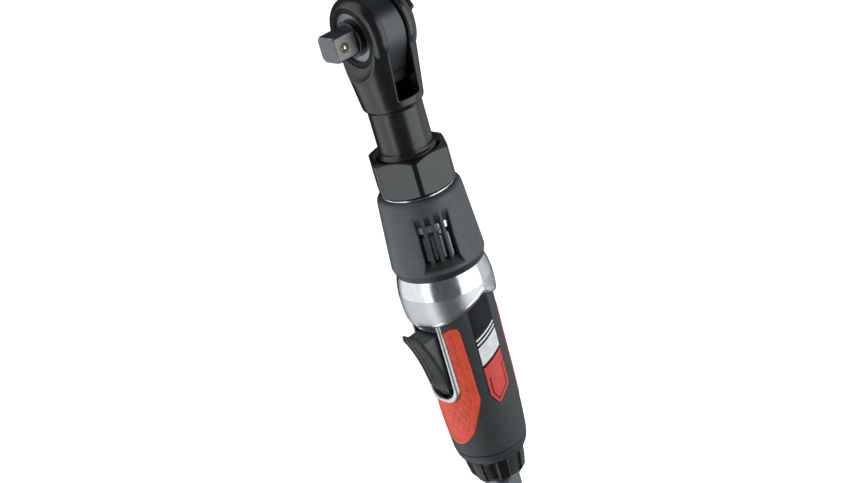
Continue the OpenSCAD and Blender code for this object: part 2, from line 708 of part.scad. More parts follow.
module inlet_bushing() color("#5e6468") on_tool() difference() {
    union() {
        along(bushing_x) cylinder(r = inlet_shank_r, h = core_end + 1 - bushing_x);
        along(core_end + 0.2) cylinder(r = inlet_journal_r, h = knob_x[1] + 0.4 - core_end - 0.2);
        along(knob_x[1] + 0.3) cylinder(r = 11.6, h = 2);
        intersection() {
            along(knob_x[1], 11) cylinder(r = inlet_flats / 2 / cos(30), h = tool_end - knob_x[1], $fn = 6);
            along(tool_end) mirror([0, 0, 1]) cylinder(r1 = 8.7, r2 = 28.7, h = 20);
        }
    }
    along(tool_end - inlet_depth) cylinder(r = inlet_r, h = 20);
    along(248) cylinder(r = 5, h = 10);
    along(bushing_x - 1) cylinder(r = 4, h = 40);
    // groove for the seal
    along(229) difference() {
        cylinder(r = 12, h = 2);
        cylinder(r = 8.25, h = 2);
    }
}

module inlet_screen() color("#c9b27a") on_tool() along(248.1) difference() {
    cylinder(r = 4.95, h = 2.6);
    translate([0, 0, 0.8]) cylinder(r = 4.3, h = 4);
    for (a = [0:60:300]) rotate(a) translate([2.4, 0, -1]) cylinder(r = 0.8, h = 4, $fn = 16);
    translate([0, 0, -1]) cylinder(r = 0.8, h = 4, $fn = 16);
}

module inlet_seal() color("#151515") on_tool() along(230) o_ring(9.15, 0.87);

ratchet_housing();
ratchet_yoke();
anvil();
detent_ball();
detent_spring();
thrust_washer();
retaining_ring();
friction_spring();
pawl_forward();
pawl_reverse();
pawl_pins();
pawl_springs();
selector_shaft();
reverse_knob();
crankshaft();
drive_bushing();
crank_bearing();
planet_gear_1();
planet_gear_2();
planet_gear_3();
planet_pins();
ring_gear();
gear_spacer();
front_end_plate();
front_bearing();
motor_cylinder();
rotor();
rotor_vanes();
rear_end_plate();
rear_bearing();
motor_dowels();
motor_housing();
clamp_nut();
exhaust_boot();
grip_sleeve();
grip_insert_front();
grip_insert_back();
badge_right();
badge_left();
throttle_lever();
lever_pin();
throttle_pin();
throttle_bushing();
pin_seal();
throttle_valve();
valve_seat();
valve_seal();
valve_spring();
rear_collar();
regulator_knob();
inlet_bushing();
inlet_screen();
inlet_seal();
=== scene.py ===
import json
import math

import bpy
import numpy as np
from mathutils import Matrix, Vector


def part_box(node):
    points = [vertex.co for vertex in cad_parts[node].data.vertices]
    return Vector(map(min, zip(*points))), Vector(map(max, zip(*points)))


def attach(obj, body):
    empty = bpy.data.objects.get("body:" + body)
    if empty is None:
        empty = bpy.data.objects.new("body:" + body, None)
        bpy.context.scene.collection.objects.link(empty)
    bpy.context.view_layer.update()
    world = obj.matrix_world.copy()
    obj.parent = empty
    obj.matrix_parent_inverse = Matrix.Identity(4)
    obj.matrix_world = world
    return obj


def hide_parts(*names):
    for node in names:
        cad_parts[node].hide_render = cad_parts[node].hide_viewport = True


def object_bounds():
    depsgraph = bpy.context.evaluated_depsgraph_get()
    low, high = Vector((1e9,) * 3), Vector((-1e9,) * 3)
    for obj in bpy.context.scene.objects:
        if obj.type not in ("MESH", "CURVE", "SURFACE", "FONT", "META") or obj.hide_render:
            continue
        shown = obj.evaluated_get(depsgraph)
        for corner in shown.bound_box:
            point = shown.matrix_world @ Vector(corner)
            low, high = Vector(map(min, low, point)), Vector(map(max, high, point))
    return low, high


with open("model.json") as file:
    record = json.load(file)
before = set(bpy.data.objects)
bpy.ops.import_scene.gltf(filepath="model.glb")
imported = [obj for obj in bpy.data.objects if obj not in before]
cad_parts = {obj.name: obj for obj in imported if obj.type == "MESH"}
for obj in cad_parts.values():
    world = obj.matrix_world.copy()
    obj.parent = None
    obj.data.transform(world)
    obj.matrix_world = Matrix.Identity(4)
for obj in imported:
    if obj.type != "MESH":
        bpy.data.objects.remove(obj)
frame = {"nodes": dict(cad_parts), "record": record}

cad_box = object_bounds()
nodes = frame["nodes"]

# ---- sizes in millimetres, in the tool's own coordinates: x along the tool from the drive axis,
# ---- y and z measured from the long axis, -y on the side of the drive and the lever


def span(node, axis=0):
    """Lowest and highest place of a CAD node along one axis, in millimetres."""
    low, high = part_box(node)
    return low[axis] * 1000, high[axis] * 1000


AXIS_Y = sum(span("regulator_knob", 1)) / 2
HEAD_R = span("ratchet_housing", 2)[1]
HEAD_END = 39.2
NECK_R = 13.65
SLOT_HALF, SLOT_END = 6.5, 33.5
FRONT_FACE, BACK_FACE = 13.0, 14.0
SPOT_R = 17.3
NUT = span("clamp_nut")
BOOT = span("exhaust_boot")
BOOT_BORE = 20.0
LIP_X = 122.2
SQUARE = 12.7
SQUARE_END = -span("anvil", 1)[0] + AXIS_Y
SHOULDER = AXIS_Y
YOKE_TEETH = 72
BALL_DOWN = -sum(span("detent_ball", 1)) / 2
SLEEVE_END = span("grip_sleeve")[1]
CORE_R = 19.0
COLLAR = span("rear_collar")
KNOB = span("regulator_knob")
TOOL_END = span("inlet_bushing")[1]
POCKET_HALF, POCKET_END, POCKET_FLOOR = 9.05, 195.0, 11.0
POCKET_START = 155.4
RIM_R, RIM_WALL = 22.5, 1.9
HINGE_X, HINGE_Y = 189.0, -17.5
PIN_X = 176.0
LEVER_HALF = span("throttle_lever", 2)[1]
WINDOW_PHI = 60.0
SLOT_PITCH = 12.6 * 0.3944
BAR_PITCH = 12.6 * 0.3194
BAR_R = 18.3
SLOTS_X = (103.0, 116.2)
SLOT_HALF_WIDTH = 1.35
EDGE_ROUNDING = 3.0
ARCH = [(155.5, -27), (143.8, 0), (142.6, 2.2), (142.2, 3.6), (142.7, 4.9), (143.8, 6.8), (154.5, 27),
        (262, 32), (262, -32)]
GRIP = [(140, 21.9), (155, 21.8), (175, 21.45), (197, 21.2), (213, 20.7), (225, 20.1), (SLEEVE_END, 19.6)]

# ---- signed distances: negative inside. Each takes arrays and works in millimetres ----


def join(a, b, r=0.0):
    """Union, with a fillet of radius r in the corner between the two."""
    if r == 0:
        return np.minimum(a, b)
    return np.maximum(r, np.minimum(a, b)) - np.hypot(np.maximum(r - a, 0), np.maximum(r - b, 0))


def both(a, b, r=0.0):
    """Intersection, with the shared edge rounded by r."""
    if r == 0:
        return np.maximum(a, b)
    return np.minimum(-r, np.maximum(a, b)) + np.hypot(np.maximum(r + a, 0), np.maximum(r + b, 0))


def cut(a, b, r=0.0):
    """a without b, with the edge of the cut rounded by r."""
    return both(a, -b, r)


def outline(u, v, points):
    """Distance from (u, v) to a closed outline."""
    best = np.full(u.shape, 1e9)
    inside = np.zeros(u.shape, bool)
    for (x1, y1), (x2, y2) in zip(points, points[1:] + points[:1]):
        ex, ey = x2 - x1, y2 - y1
        if ex == 0 and ey == 0:
            continue
        wx, wy = u - x1, v - y1
        t = np.clip((wx * ex + wy * ey) / (ex * ex + ey * ey), 0, 1)
        best = np.minimum(best, (wx - ex * t) ** 2 + (wy - ey * t) ** 2)
        if ey != 0:
            crosses = (y1 > v) != (y2 > v)
            inside ^= crosses & (u < ex * (v - y1) / ey + x1)
    return np.sqrt(best) * np.where(inside, -1, 1)


def soft_outline(u, v, points, r):
    """Distance to a convex outline whose corners are rounded by r."""
    area = sum(x1 * y2 - x2 * y1 for (x1, y1), (x2, y2) in zip(points, points[1:] + points[:1]))
    turn = 1 if area > 0 else -1
    worst = np.full(u.shape, -1e9)
    corner = np.zeros(u.shape)
    for (x1, y1), (x2, y2) in zip(points, points[1:] + points[:1]):
        length = math.hypot(x2 - x1, y2 - y1)
        nx, ny = turn * (y2 - y1) / length, -turn * (x2 - x1) / length
        d = (u - x1) * nx + (v - y1) * ny + r
        corner += np.maximum(d, 0) ** 2
        worst = np.maximum(worst, d)
    return np.where(worst > 0, np.sqrt(corner), worst) - r


def profile(x, points):
    """Height of a broken line at x."""
    return np.interp(x, [p[0] for p in points], [p[1] for p in points])


def smooth_profile(x, points):
    """Height of a smooth curve through the points at x."""
    px, py = [p[0] for p in points], [p[1] for p in points]
    slopes = np.gradient(py, px)
    i = np.clip(np.searchsorted(px, x) - 1, 0, len(px) - 2)
    px, py = np.array(px), np.array(py)
    h = px[i + 1] - px[i]
    t = np.clip((x - px[i]) / h, 0, 1)
    a, b = py[i], py[i + 1]
    return ((2 * t ** 3 - 3 * t ** 2 + 1) * a + (t ** 3 - 2 * t ** 2 + t) * h * slopes[i]
            + (-2 * t ** 3 + 3 * t ** 2) * b + (t ** 3 - t ** 2) * h * slopes[i + 1])


def polar(y, z):
    """Radius about the long axis and angle from -y towards +z, in degrees."""
    return np.hypot(y, z), np.degrees(np.arctan2(z, -y))


def turned(angle, centre):
    """Angle from a centre, wrapped to a half turn each way."""
    return (angle - centre + 180) % 360 - 180


def between_flat(x, low, high):
    """1 between two places and 0 outside them."""
    return ((x > low) & (x < high)).astype(float)


def between(x, low, high):
    """Distance to a slab from low to high."""
    return np.maximum(low - x, x - high)


# ---- turning a distance into a mesh ----

EDGES = [(0, 1), (2, 3), (4, 5), (6, 7), (0, 2), (1, 3), (4, 6), (5, 7), (0, 4), (1, 5), (2, 6), (3, 7)]
CORNERS = np.array([(i & 1, i >> 1 & 1, i >> 2 & 1) for i in range(8)])
BLOCK = 8


def sample(field, low, high, cell):
    """The distance on a grid. Blocks far from the surface keep the value at their middle."""
    low = np.array(low, float)
    blocks = np.ceil((np.array(high, float) - low) / cell / BLOCK).astype(int) + 1
    middle = [low[a] + (np.arange(blocks[a]) + 0.5) * BLOCK * cell for a in range(3)]
    gx, gy, gz = np.meshgrid(*middle, indexing="ij")
    coarse = field(gx.ravel(), gy.ravel(), gz.ravel()).reshape(gx.shape)
    values = coarse.repeat(BLOCK, 0).repeat(BLOCK, 1).repeat(BLOCK, 2).astype(np.float32)
    reach = cell * (BLOCK * 0.5 + 1.5) * math.sqrt(3)
    step = np.arange(BLOCK)
    near = np.argwhere(abs(coarse) < reach)
    for part in np.array_split(near, max(1, len(near) // 1500)):
        ix = (part[:, 0, None] * BLOCK + step)[:, :, None, None]
        iy = (part[:, 1, None] * BLOCK + step)[:, None, :, None]
        iz = (part[:, 2, None] * BLOCK + step)[:, None, None, :]
        ix, iy, iz = np.broadcast_arrays(ix, iy, iz)
        found = field(low[0] + ix.ravel() * cell, low[1] + iy.ravel() * cell, low[2] + iz.ravel() * cell)
        values[ix, iy, iz] = found.reshape(ix.shape)
    return low, values


def slope(field, p, h=0.03):
    """Gradient of the distance at points p."""
    out = np.empty_like(p)
    for a in range(3):
        d = np.zeros(3)
        d[a] = h
        q, s = p + d, p - d
        out[:, a] = (field(q[:, 0], q[:, 1], q[:, 2]) - field(s[:, 0], s[:, 1], s[:, 2])) / (2 * h)
    return out


def mesh_of(field, low, high, cell):
    """Vertices, quads and normals of the surface where the distance is zero."""
    low, values = sample(field, low, high, cell)
    inside = values < 0
    shape = tuple(n - 1 for n in values.shape)
    count = np.zeros(shape, np.int8)
    for dx, dy, dz in CORNERS:
        count += inside[dx:shape[0] + dx, dy:shape[1] + dy, dz:shape[2] + dz]
    cells = np.argwhere((count > 0) & (count < 8))
    index = np.full(shape, -1, np.int64)
    index[tuple(cells.T)] = np.arange(len(cells))
    corner = np.stack([values[tuple((cells + c).T)] for c in CORNERS], 1)
    total, hits = np.zeros((len(cells), 3)), np.zeros(len(cells))
    for a, b in EDGES:
        va, vb = corner[:, a], corner[:, b]
        crossed = (va < 0) != (vb < 0)
        t = np.where(crossed, va / np.where(crossed, va - vb, 1), 0)
        place = CORNERS[a] + t[:, None] * (CORNERS[b] - CORNERS[a])
        total += np.where(crossed[:, None], place, 0)
        hits += crossed
    points = low + (cells + total / hits[:, None]) * cell
    for _ in range(3):
        g = slope(field, points)
        d = field(points[:, 0], points[:, 1], points[:, 2])
        move = -d[:, None] * g / np.maximum((g ** 2).sum(1), 0.2)[:, None]
        points += np.clip(move, -0.6 * cell, 0.6 * cell)
    quads = []
    for a in range(3):
        b, c = (a + 1) % 3, (a + 2) % 3
        here = [slice(None)] * 3
        after = [slice(None)] * 3
        here[a], after[a] = slice(0, -1), slice(1, None)
        crossed = inside[tuple(here)] != inside[tuple(after)]
        at = np.argwhere(crossed)
        at = at[(at[:, b] > 0) & (at[:, c] > 0) & (at[:, b] < shape[b]) & (at[:, c] < shape[c])]
        into = inside[tuple(at.T)]
        ring = []
        for db, dc in ((0, 0), (-1, 0), (-1, -1), (0, -1)):
            q = at.copy()
            q[:, b] += db
            q[:, c] += dc
            ring.append(index[tuple(q.T)])
        quad = np.stack(ring, 1)
        quad[~into] = quad[~into][:, ::-1]
        quads.append(quad)
    quads = np.concatenate(quads)
    g = slope(field, points)
    normals = g / np.maximum(np.linalg.norm(g, axis=1), 1e-9)[:, None]
    return points, quads, normals


def wear_of(field, points, reach=0.5):
    """How sharply the surface bulges at each point: above 0 on an edge, below 0 in a corner."""
    around = -6 * field(points[:, 0], points[:, 1], points[:, 2])
    for a in range(3):
        for s in (-reach, reach):
            q = points.copy()
            q[:, a] += s
            around += field(q[:, 0], q[:, 1], q[:, 2])
    return around / reach


def piece(name, field, low, high, cell, body, slot, material, *replaced, wear_and_painted_shade=False):
    """A named object meshed from a distance, which rides on a body and stands for CAD nodes."""
    points, quads, normals = mesh_of(field, low, high, cell)
    place = (points + np.array([0, AXIS_Y, 0])) / 1000
    mesh = bpy.data.meshes.new(name)
    mesh.vertices.add(len(place))
    mesh.vertices.foreach_set("co", place.astype(np.float32).ravel())
    mesh.loops.add(len(quads) * 4)
    mesh.loops.foreach_set("vertex_index", quads.astype(np.int32).ravel())
    mesh.polygons.add(len(quads))
    mesh.polygons.foreach_set("loop_start", np.arange(0, len(quads) * 4, 4, dtype=np.int32))
    mesh.polygons.foreach_set("use_smooth", np.ones(len(quads), bool))
    mesh.update(calc_edges=True)
    mesh.validate()
    # the attribute marks worn edges from the curvature when the flag is set, and holds a painted shade mask
    # when a function is given
    if wear_and_painted_shade:
        amount = mesh.attributes.new("wear_and_painted_shade", "FLOAT", "POINT")
        value = wear_and_painted_shade(points) if callable(wear_and_painted_shade) else wear_of(field, points)
        amount.data.foreach_set("value", value.astype(np.float32))
    mesh.normals_split_custom_set_from_vertices(normals.tolist())
    ob = bpy.data.objects.new(name, mesh)
    bpy.context.scene.collection.objects.link(ob)
    ob.data.materials.append(material)
    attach(ob, body)
    if replaced:
        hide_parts(*replaced)
    print(name, len(place))
    return ob


# ---- materials ----


def new_material(name, colour, roughness, metallic=0.0, ior=1.5, coat=0.0, coat_roughness=0.1):
    """A Principled material, with its shader and its tree for adding detail."""
    m = bpy.data.materials.new(name)
    m.use_nodes = True
    m.diffuse_color = (*colour, 1)
    tree = m.node_tree
    shader = tree.nodes["Principled BSDF"]
    shader.inputs["Base Color"].default_value = (*colour, 1)
    shader.inputs["Roughness"].default_value = roughness
    shader.inputs["Metallic"].default_value = metallic
    shader.inputs["IOR"].default_value = ior
    shader.inputs["Coat Weight"].default_value = coat
    shader.inputs["Coat Roughness"].default_value = coat_roughness
    return m, tree, shader


def noise(tree, scale, detail=4.0, stretch=(1, 1, 1), rough=0.5):
    """Noise in object coordinates. scale is in waves per metre."""
    where = tree.nodes.new("ShaderNodeTexCoord")
    mapping = tree.nodes.new("ShaderNodeMapping")
    mapping.inputs["Scale"].default_value = stretch
    texture = tree.nodes.new("ShaderNodeTexNoise")
    texture.inputs["Scale"].default_value = scale
    texture.inputs["Detail"].default_value = detail
    texture.inputs["Roughness"].default_value = rough
    tree.links.new(where.outputs["Object"], mapping.inputs["Vector"])
    tree.links.new(mapping.outputs["Vector"], texture.inputs["Vector"])
    return texture.outputs["Fac"]


def ranged(tree, value, low, high, out_low, out_high):
    """Maps a value from one range to another."""
    node = tree.nodes.new("ShaderNodeMapRange")
    for key, number in zip(("From Min", "From Max", "To Min", "To Max"), (low, high, out_low, out_high)):
        node.inputs[key].default_value = number
    tree.links.new(value, node.inputs["Value"])
    return node.outputs["Result"]


def tint(tree, shader, factor, first, second):
    """Blends two colours by a factor into the base colour."""
    mix = tree.nodes.new("ShaderNodeMix")
    mix.data_type = "RGBA"
    mix.inputs["A"].default_value = (*first, 1)
    mix.inputs["B"].default_value = (*second, 1)
    tree.links.new(factor, mix.inputs["Factor"])
    tree.links.new(mix.outputs["Result"], shader.inputs["Base Color"])


def bump(tree, shader, height, strength, distance):
    """Small relief on the surface, distance in metres."""
    node = tree.nodes.new("ShaderNodeBump")
    node.inputs["Strength"].default_value = strength
    node.inputs["Distance"].default_value = distance
    tree.links.new(height, node.inputs["Height"])
    tree.links.new(node.outputs["Normal"], shader.inputs["Normal"])


def roughened(tree, shader, value, low, high):
    """Varies roughness from low to high with a value around one half."""
    tree.links.new(ranged(tree, value, 0.3, 0.7, low, high), shader.inputs["Roughness"])


def edge_worn(name, colour, worn, roughness, metallic, ior=1.5, coat=0.0, lo=0.9, hi=2.2):
    """A finish rubbed to another colour along the piece's sharp edges."""
    m, tree, shader = new_material(name, colour, roughness, metallic, ior, coat)
    wear_and_painted_shade = tree.nodes.new("ShaderNodeAttribute")
    wear_and_painted_shade.attribute_name = "wear_and_painted_shade"
    rubbed = ranged(tree, wear_and_painted_shade.outputs["Fac"], lo, hi, 0, 1)
    patchy = ranged(tree, noise(tree, 900, 5), 0.35, 0.6, 0.25, 1)
    amount = tree.nodes.new("ShaderNodeMath")
    amount.operation = "MULTIPLY"
    tree.links.new(rubbed, amount.inputs[0])
    tree.links.new(patchy, amount.inputs[1])
    tint(tree, shader, amount.outputs[0], colour, worn)
    roughened(tree, shader, noise(tree, 700), roughness * 0.85, roughness * 1.25)
    bump(tree, shader, noise(tree, 2500, 6), 0.12, 0.00005)
    return m


def cast_black(name, roughness=0.24):
    """Black finished steel: near-black gloss with a fine unevenness."""
    m, tree, shader = new_material(name, (0.006, 0.0058, 0.0058), roughness, 0.0, 1.6, 0.0)
    spread = ranged(tree, noise(tree, 300), 0.3, 0.7, 0, 1)
    tint(tree, shader, spread, (0.005, 0.0048, 0.0048), (0.009, 0.0088, 0.009))
    roughened(tree, shader, noise(tree, 240, 5), roughness * 0.85, roughness * 1.2)
    bump(tree, shader, noise(tree, 420, 5), 0.08, 0.00008)
    return m


def machined(name, colour, roughness, stretch=(1, 8, 8), scale=500):
    """Ground or turned metal: fine lines in one direction."""
    m, tree, shader = new_material(name, colour, roughness, 1.0)
    lines = noise(tree, scale, 6, stretch, 0.7)
    dark = tuple(c * 0.8 for c in colour)
    tint(tree, shader, ranged(tree, lines, 0.35, 0.65, 0, 1), dark, colour)
    roughened(tree, shader, lines, roughness * 0.8, roughness * 1.3)
    bump(tree, shader, lines, 0.12, 0.00004)
    return m


def polished(name, colour, roughness):
    """Buffed metal: soft waves and a faint haze from the polishing wheel."""
    m, tree, shader = new_material(name, colour, roughness, 1.0)
    haze = noise(tree, 160, 5, (1, 2.5, 2.5), 0.6)
    dull = tuple(c * 0.9 for c in colour)
    tint(tree, shader, ranged(tree, haze, 0.35, 0.65, 0, 1), dull, colour)
    roughened(tree, shader, haze, roughness * 0.75, roughness * 1.35)
    bump(tree, shader, noise(tree, 240, 4, (1, 2, 2)), 0.1, 0.00012)
    return m


def moulded(name, colour, roughness, grain=2600, depth=0.00006, ior=1.5, parts=False):
    """Rubber or plastic with the fine grain of its mould."""
    m, tree, shader = new_material(name, colour, roughness, 0.0, ior)
    lighter = tuple(min(1, c * 1.25) for c in colour)
    tint(tree, shader, ranged(tree, noise(tree, 260, 4), 0.35, 0.7, 0, 1), colour, lighter)
    roughened(tree, shader, noise(tree, 350, 4), roughness * 0.9, min(1, roughness * 1.15))
    bump(tree, shader, noise(tree, grain, 3), 0.35, depth)
    return (m, tree, shader) if parts else m


def shaded(finish, dark):
    """The same finish with painted shade: going darker where the piece's own attribute says."""
    m, tree, shader = finish
    amount = tree.nodes.new("ShaderNodeAttribute")
    amount.attribute_name = "wear_and_painted_shade"
    source = shader.inputs["Base Color"].links[0].from_socket
    mix = tree.nodes.new("ShaderNodeMix")
    mix.data_type = "RGBA"
    tree.links.new(amount.outputs["Fac"], mix.inputs["Factor"])
    tree.links.new(source, mix.inputs[6])
    mix.inputs[7].default_value = (*dark, 1)
    tree.links.new(mix.outputs[2], shader.inputs["Base Color"])
    return m


MATERIAL = {
    "head_black": cast_black("finish_head_black", 0.25),
    "nut_black": cast_black("finish_nut_black", 0.2),
    "yoke_steel": machined("finish_yoke_steel", (0.09, 0.094, 0.1), 0.36),
    "drive_steel": edge_worn("finish_drive_steel", (0.15, 0.15, 0.155), (0.7, 0.66, 0.58), 0.36, 1.0),
    "polished_steel": machined("finish_polished_steel", (0.8, 0.8, 0.8), 0.12),
    "spring_steel": machined("finish_spring_steel", (0.5, 0.5, 0.52), 0.3),
    "washer_steel": machined("finish_washer_steel", (0.3, 0.31, 0.32), 0.34, (8, 1, 8)),
    "black_oxide": machined("finish_black_oxide", (0.03, 0.03, 0.032), 0.3, (8, 1, 8)),
    "ground_steel": machined("finish_ground_steel", (0.55, 0.55, 0.56), 0.28),
    "bronze": machined("finish_bronze", (0.52, 0.33, 0.15), 0.35),
    "brass": machined("finish_brass", (0.65, 0.47, 0.2), 0.3),
    "screen_brass": machined("finish_screen_brass", (0.6, 0.48, 0.26), 0.45),
    "vane_resin": moulded("finish_vane_resin", (0.2, 0.1, 0.05), 0.6),
    "bright_aluminium": polished("finish_bright_aluminium", (0.72, 0.73, 0.74), 0.19),
    "cast_aluminium": machined("finish_cast_aluminium", (0.66, 0.67, 0.67), 0.38, (4, 4, 4), 300),
    "satin_aluminium": machined("finish_satin_aluminium", (0.56, 0.57, 0.57), 0.34, (1, 5, 5), 700),
    # painted shade: the boot's rubber goes near black by its painted shade mask, in the sunk window and on the
    # turned lip
    "boot_rubber": shaded(
        moulded("finish_boot_rubber_painted_shade", (0.062, 0.067, 0.075), 0.46, 3000, 0.00004, 1.55, parts=True),
        (0.009, 0.009, 0.01)),
    "grip_rubber": moulded("finish_grip_rubber", (0.033, 0.035, 0.037), 0.55, 2400, 0.00008, 1.5),
    "collar_rubber": moulded("finish_collar_rubber", (0.026, 0.028, 0.03), 0.5, 2400, 0.00006),
    "red_rubber": moulded("finish_red_rubber", (0.8, 0.085, 0.04), 0.5, 2200, 0.00005, 1.45),
    "badge": moulded("finish_badge_black", (0.005, 0.0045, 0.005), 0.34, 900, 0.00001, 1.25),
    "lever_plastic": moulded("finish_lever_plastic", (0.009, 0.009, 0.01), 0.33, 1800, 0.00003, 1.38),
    "knob_black": moulded("finish_knob_black", (0.006, 0.006, 0.006), 0.24, 1500, 0.00002, 1.42),
    "inlet_steel": machined("finish_inlet_steel", (0.17, 0.19, 0.205), 0.34),
    "seal_rubber": moulded("finish_seal_rubber", (0.01, 0.01, 0.01), 0.6),
    "badge_red": moulded("finish_badge_red", (0.66, 0.028, 0.022), 0.32, 900, 0.00001),
    "badge_silver": moulded("finish_badge_silver", (0.78, 0.79, 0.8), 0.3, 900, 0.00001),
    # painted reflection: a lighter grey copy of the lever's black plastic for the web's sides, standing in for
    # the lamps' reflection on them
    "lever_side": moulded("painted_reflection_lever_side", (0.07, 0.076, 0.076), 0.42, 1800, 0.00004),
    # painted shade: the anvil's shank and drum are near black, though they are the same steel as its grey
    # square, where shade falls round the square's root
    "drum_black": cast_black("finish_drum_painted_shade_black", 0.22),
    "ball_ring": machined("finish_ball_ring", (0.2, 0.15, 0.1), 0.4),
}

# ---- ratchet head ----


def head_field(x, y, z):
    """Ears, head body, neck, collar and spigot in one casting, with its slot and bores."""
    q = np.hypot(x, z)
    rho = np.hypot(y, z)
    middle, half = (BACK_FACE - FRONT_FACE) / 2, (BACK_FACE + FRONT_FACE) / 2
    disc = both(q - HEAD_R, abs(y - middle) - half, 5.6)
    taper = (rho - (19.4 - 0.118 * (x - 3))) * 0.993
    body = both(both(taper, x - HEAD_END, 2.6), 3 - x)
    shape = join(disc, body)
    neck = both(rho - NECK_R, between(x, 30, 66), 0)
    flare = both(rho - 15, between(x, 62.6, 71), 1.2)
    shape = join(join(shape, neck, 0.8), flare, 1.5)
    for side, face in ((-1, FRONT_FACE), (1, BACK_FACE)):
        depth = side * y - face
        scoop = both(-depth, (q - SPOT_R - 1.05 * depth) * 0.69, 2.2)
        shape = cut(shape, scoop, 0.7)
    slot = both(abs(y) - SLOT_HALF, x - SLOT_END, 0.9)
    shape = cut(shape, slot, 0.9)
    shape = join(shape, both(rho - 17.2, between(x, 66, 70), 0.4))
    shape = join(shape, both(rho - 15.85, between(x, 69, 83.9), 0.4))
    # front ear: recess for the ring and washer, then the drum's bore
    shape = cut(shape, both(q - 14.9, y + 9.5, 0), 0.35)
    shape = cut(shape, both(q - 12.56, y + 5), 0.2)
    # back ear: drum bore, stub bore and recess for the knob
    shape = cut(shape, both(q - 12.56, between(y, 0, 10)), 0.2)
    shape = cut(shape, both(q - 8.05, 5 - y))
    shape = cut(shape, both(q - 13.3, 12 - y), 0.35)
    # crank chamber, carrier chamber and ring gear bore
    shape = cut(shape, both(rho - 11, between(x, 25.5, 63)), 0.2)
    shape = cut(shape, both(rho - 12.9, between(x, 60.5, 74)))
    shape = cut(shape, both(rho - 13.9, 71.8 - x))
    return shape


def ring_field(x, y, z):
    """Retaining ring with a turned groove, and its gap on the hidden side."""
    q = np.hypot(x, z)
    ring = both(both(q - 14.82, 12.3 - q), between(y, -12.75, -11.75), 0.25)
    ring = cut(ring, np.hypot(q - 13.55, y + 12.95) - 0.62, 0.1)
    c, s = math.cos(math.radians(40)), math.sin(math.radians(40))
    return cut(ring, both(abs(x * s + z * c) - 1.6, -(x * c - z * s)), 0.2)


def yoke_field(x, y, z):
    """Oscillating yoke: a toothed ring between the ears, with fork arms to the crank."""
    q = np.hypot(x, z)
    half = [(0, 16.9), (8, 15.2), (17, 11.6), (32.8, 10.6)]
    arms = soft_outline(x, z, half + [(u, -v) for u, v in reversed(half)], 1.0)
    shape = join(q - 17.5, arms, 7.0)
    shape = both(shape, q - 33.5)
    shape = cut(shape, both(abs(z) - 7.3, 20.5 - x, 1.5), 0.5)
    teeth = np.degrees(np.arctan2(z, x)) / (360 / YOKE_TEETH) % 1
    shape = cut(shape, (q - 12.9 - 0.9 * abs(2 * teeth - 1)) * 0.6)
    return both(shape, abs(y) - 6.2, 0.7)


def ball_hole(x, y, z):
    """Bore for the detent ball, with the sunk ring round its mouth."""
    hole = np.hypot(x, y + SHOULDER + BALL_DOWN)
    return np.minimum(both(hole - 2.05, -1.2 - z), both(hole - 2.95, 6.0 - z))


def square_field(x, y, z):
    """Square drive with turned corners and end."""
    q = np.hypot(x, z)
    half = SQUARE / 2
    bar = both(abs(x) - half, abs(z) - half, 0.35)
    bar = both(bar, q - 8.35, 0.25)
    bar = both(bar, -y - SQUARE_END, 0.5)
    bar = both(bar, (q - 7.35 - (y + SQUARE_END) * 1.15) * 0.66, 0.35)
    bar = both(bar, y + SHOULDER - 0.5)
    return cut(bar, ball_hole(x, y, z), 0.1)


def ball_ring_field(x, y, z):
    """Ring staked round the detent ball."""
    hole = np.hypot(x, y + SHOULDER + BALL_DOWN)
    ring = both(hole - 2.93, between(z, 5.8, 6.24), 0.12)
    return cut(ring, (hole - 1.85 - (z - 5.8) * 0.8) * 0.78, 0.08)


def drum_field(x, y, z):
    """Round shoulder and drum of the anvil."""
    q = np.hypot(x, z)
    shaft = both(q - 9, between(y, -SHOULDER, -9), 0.6)
    drum = both(q - 12.5, between(y, -9.2, 9), 0.3)
    shape = join(join(shaft, drum), both(q - 8, between(y, 8, 11.7)))
    shape = cut(shape, both(q - 3.55, -5.5 - y))
    for s in (-1, 1):
        pocket = both(both(abs(y) - 6, between(s * x, -8.2, 8.6)), 6.1 - s * z)
        shape = cut(shape, pocket)
    return cut(shape, ball_hole(x, y, z))


def knob_tab_field(x, y, z):
    """Reverse knob on the back of the head: a disc with a thumb bar and a tab."""
    q = np.hypot(x, z)
    disc = both(q - 12.9, between(y, 12.4, 16.4), 0.9)
    c, s = math.cos(math.radians(120)), math.sin(math.radians(120))
    along, across = x * c + z * s, -x * s + z * c
    bar = both(abs(across) - 2.6 - 0.02 * along, between(along, -11.4, 14.6), 1.3)
    bar = both(bar, between(y, BACK_FACE + 0.3, 17.4), 0.9)
    shape = join(disc, bar, 0.8)
    for k in range(24):
        a = math.radians(15 * k + 7.5)
        groove = np.hypot(x - 13.2 * math.cos(a), z - 13.2 * math.sin(a)) - 0.75
        shape = cut(shape, both(groove, 3.6 - abs(across)), 0.2)
    return shape


def nut_field(x, y, z):
    """Hexagon clamp nut with turned corners and chamfered ends."""
    rho, phi = polar(y, z)
    flat = 37.7 / 2
    turn = np.radians(turned(phi, 29 + 60 * np.round(turned(phi, 29) / 60)))
    hexagon = rho * np.cos(turn) - flat
    shape = both(hexagon, rho - 21.1, 0.25)
    for end, side in ((NUT[0], 1), (NUT[1], -1)):
        shape = both(shape, (rho - 18.3 - side * (x - end) * 1.7) * 0.507, 0.3)
    shape = both(shape, between(x, *NUT), 0.25)
    shape = cut(shape, rho - 15.2)
    shape = cut(shape, (rho - 17.4 + (x - NUT[0]) * 1.1) * 0.67, 0.3)
    shape = cut(shape, both(rho - 17.45, 66 - x))
    return shape


# ---- boot and motor housing ----


def boot_skin(x):
    """Outer radius of the boot before its ends are rounded."""
    return profile(x, [(83, 21.2), (88, 21.75), (122, 24.1), (127, 24.1)])


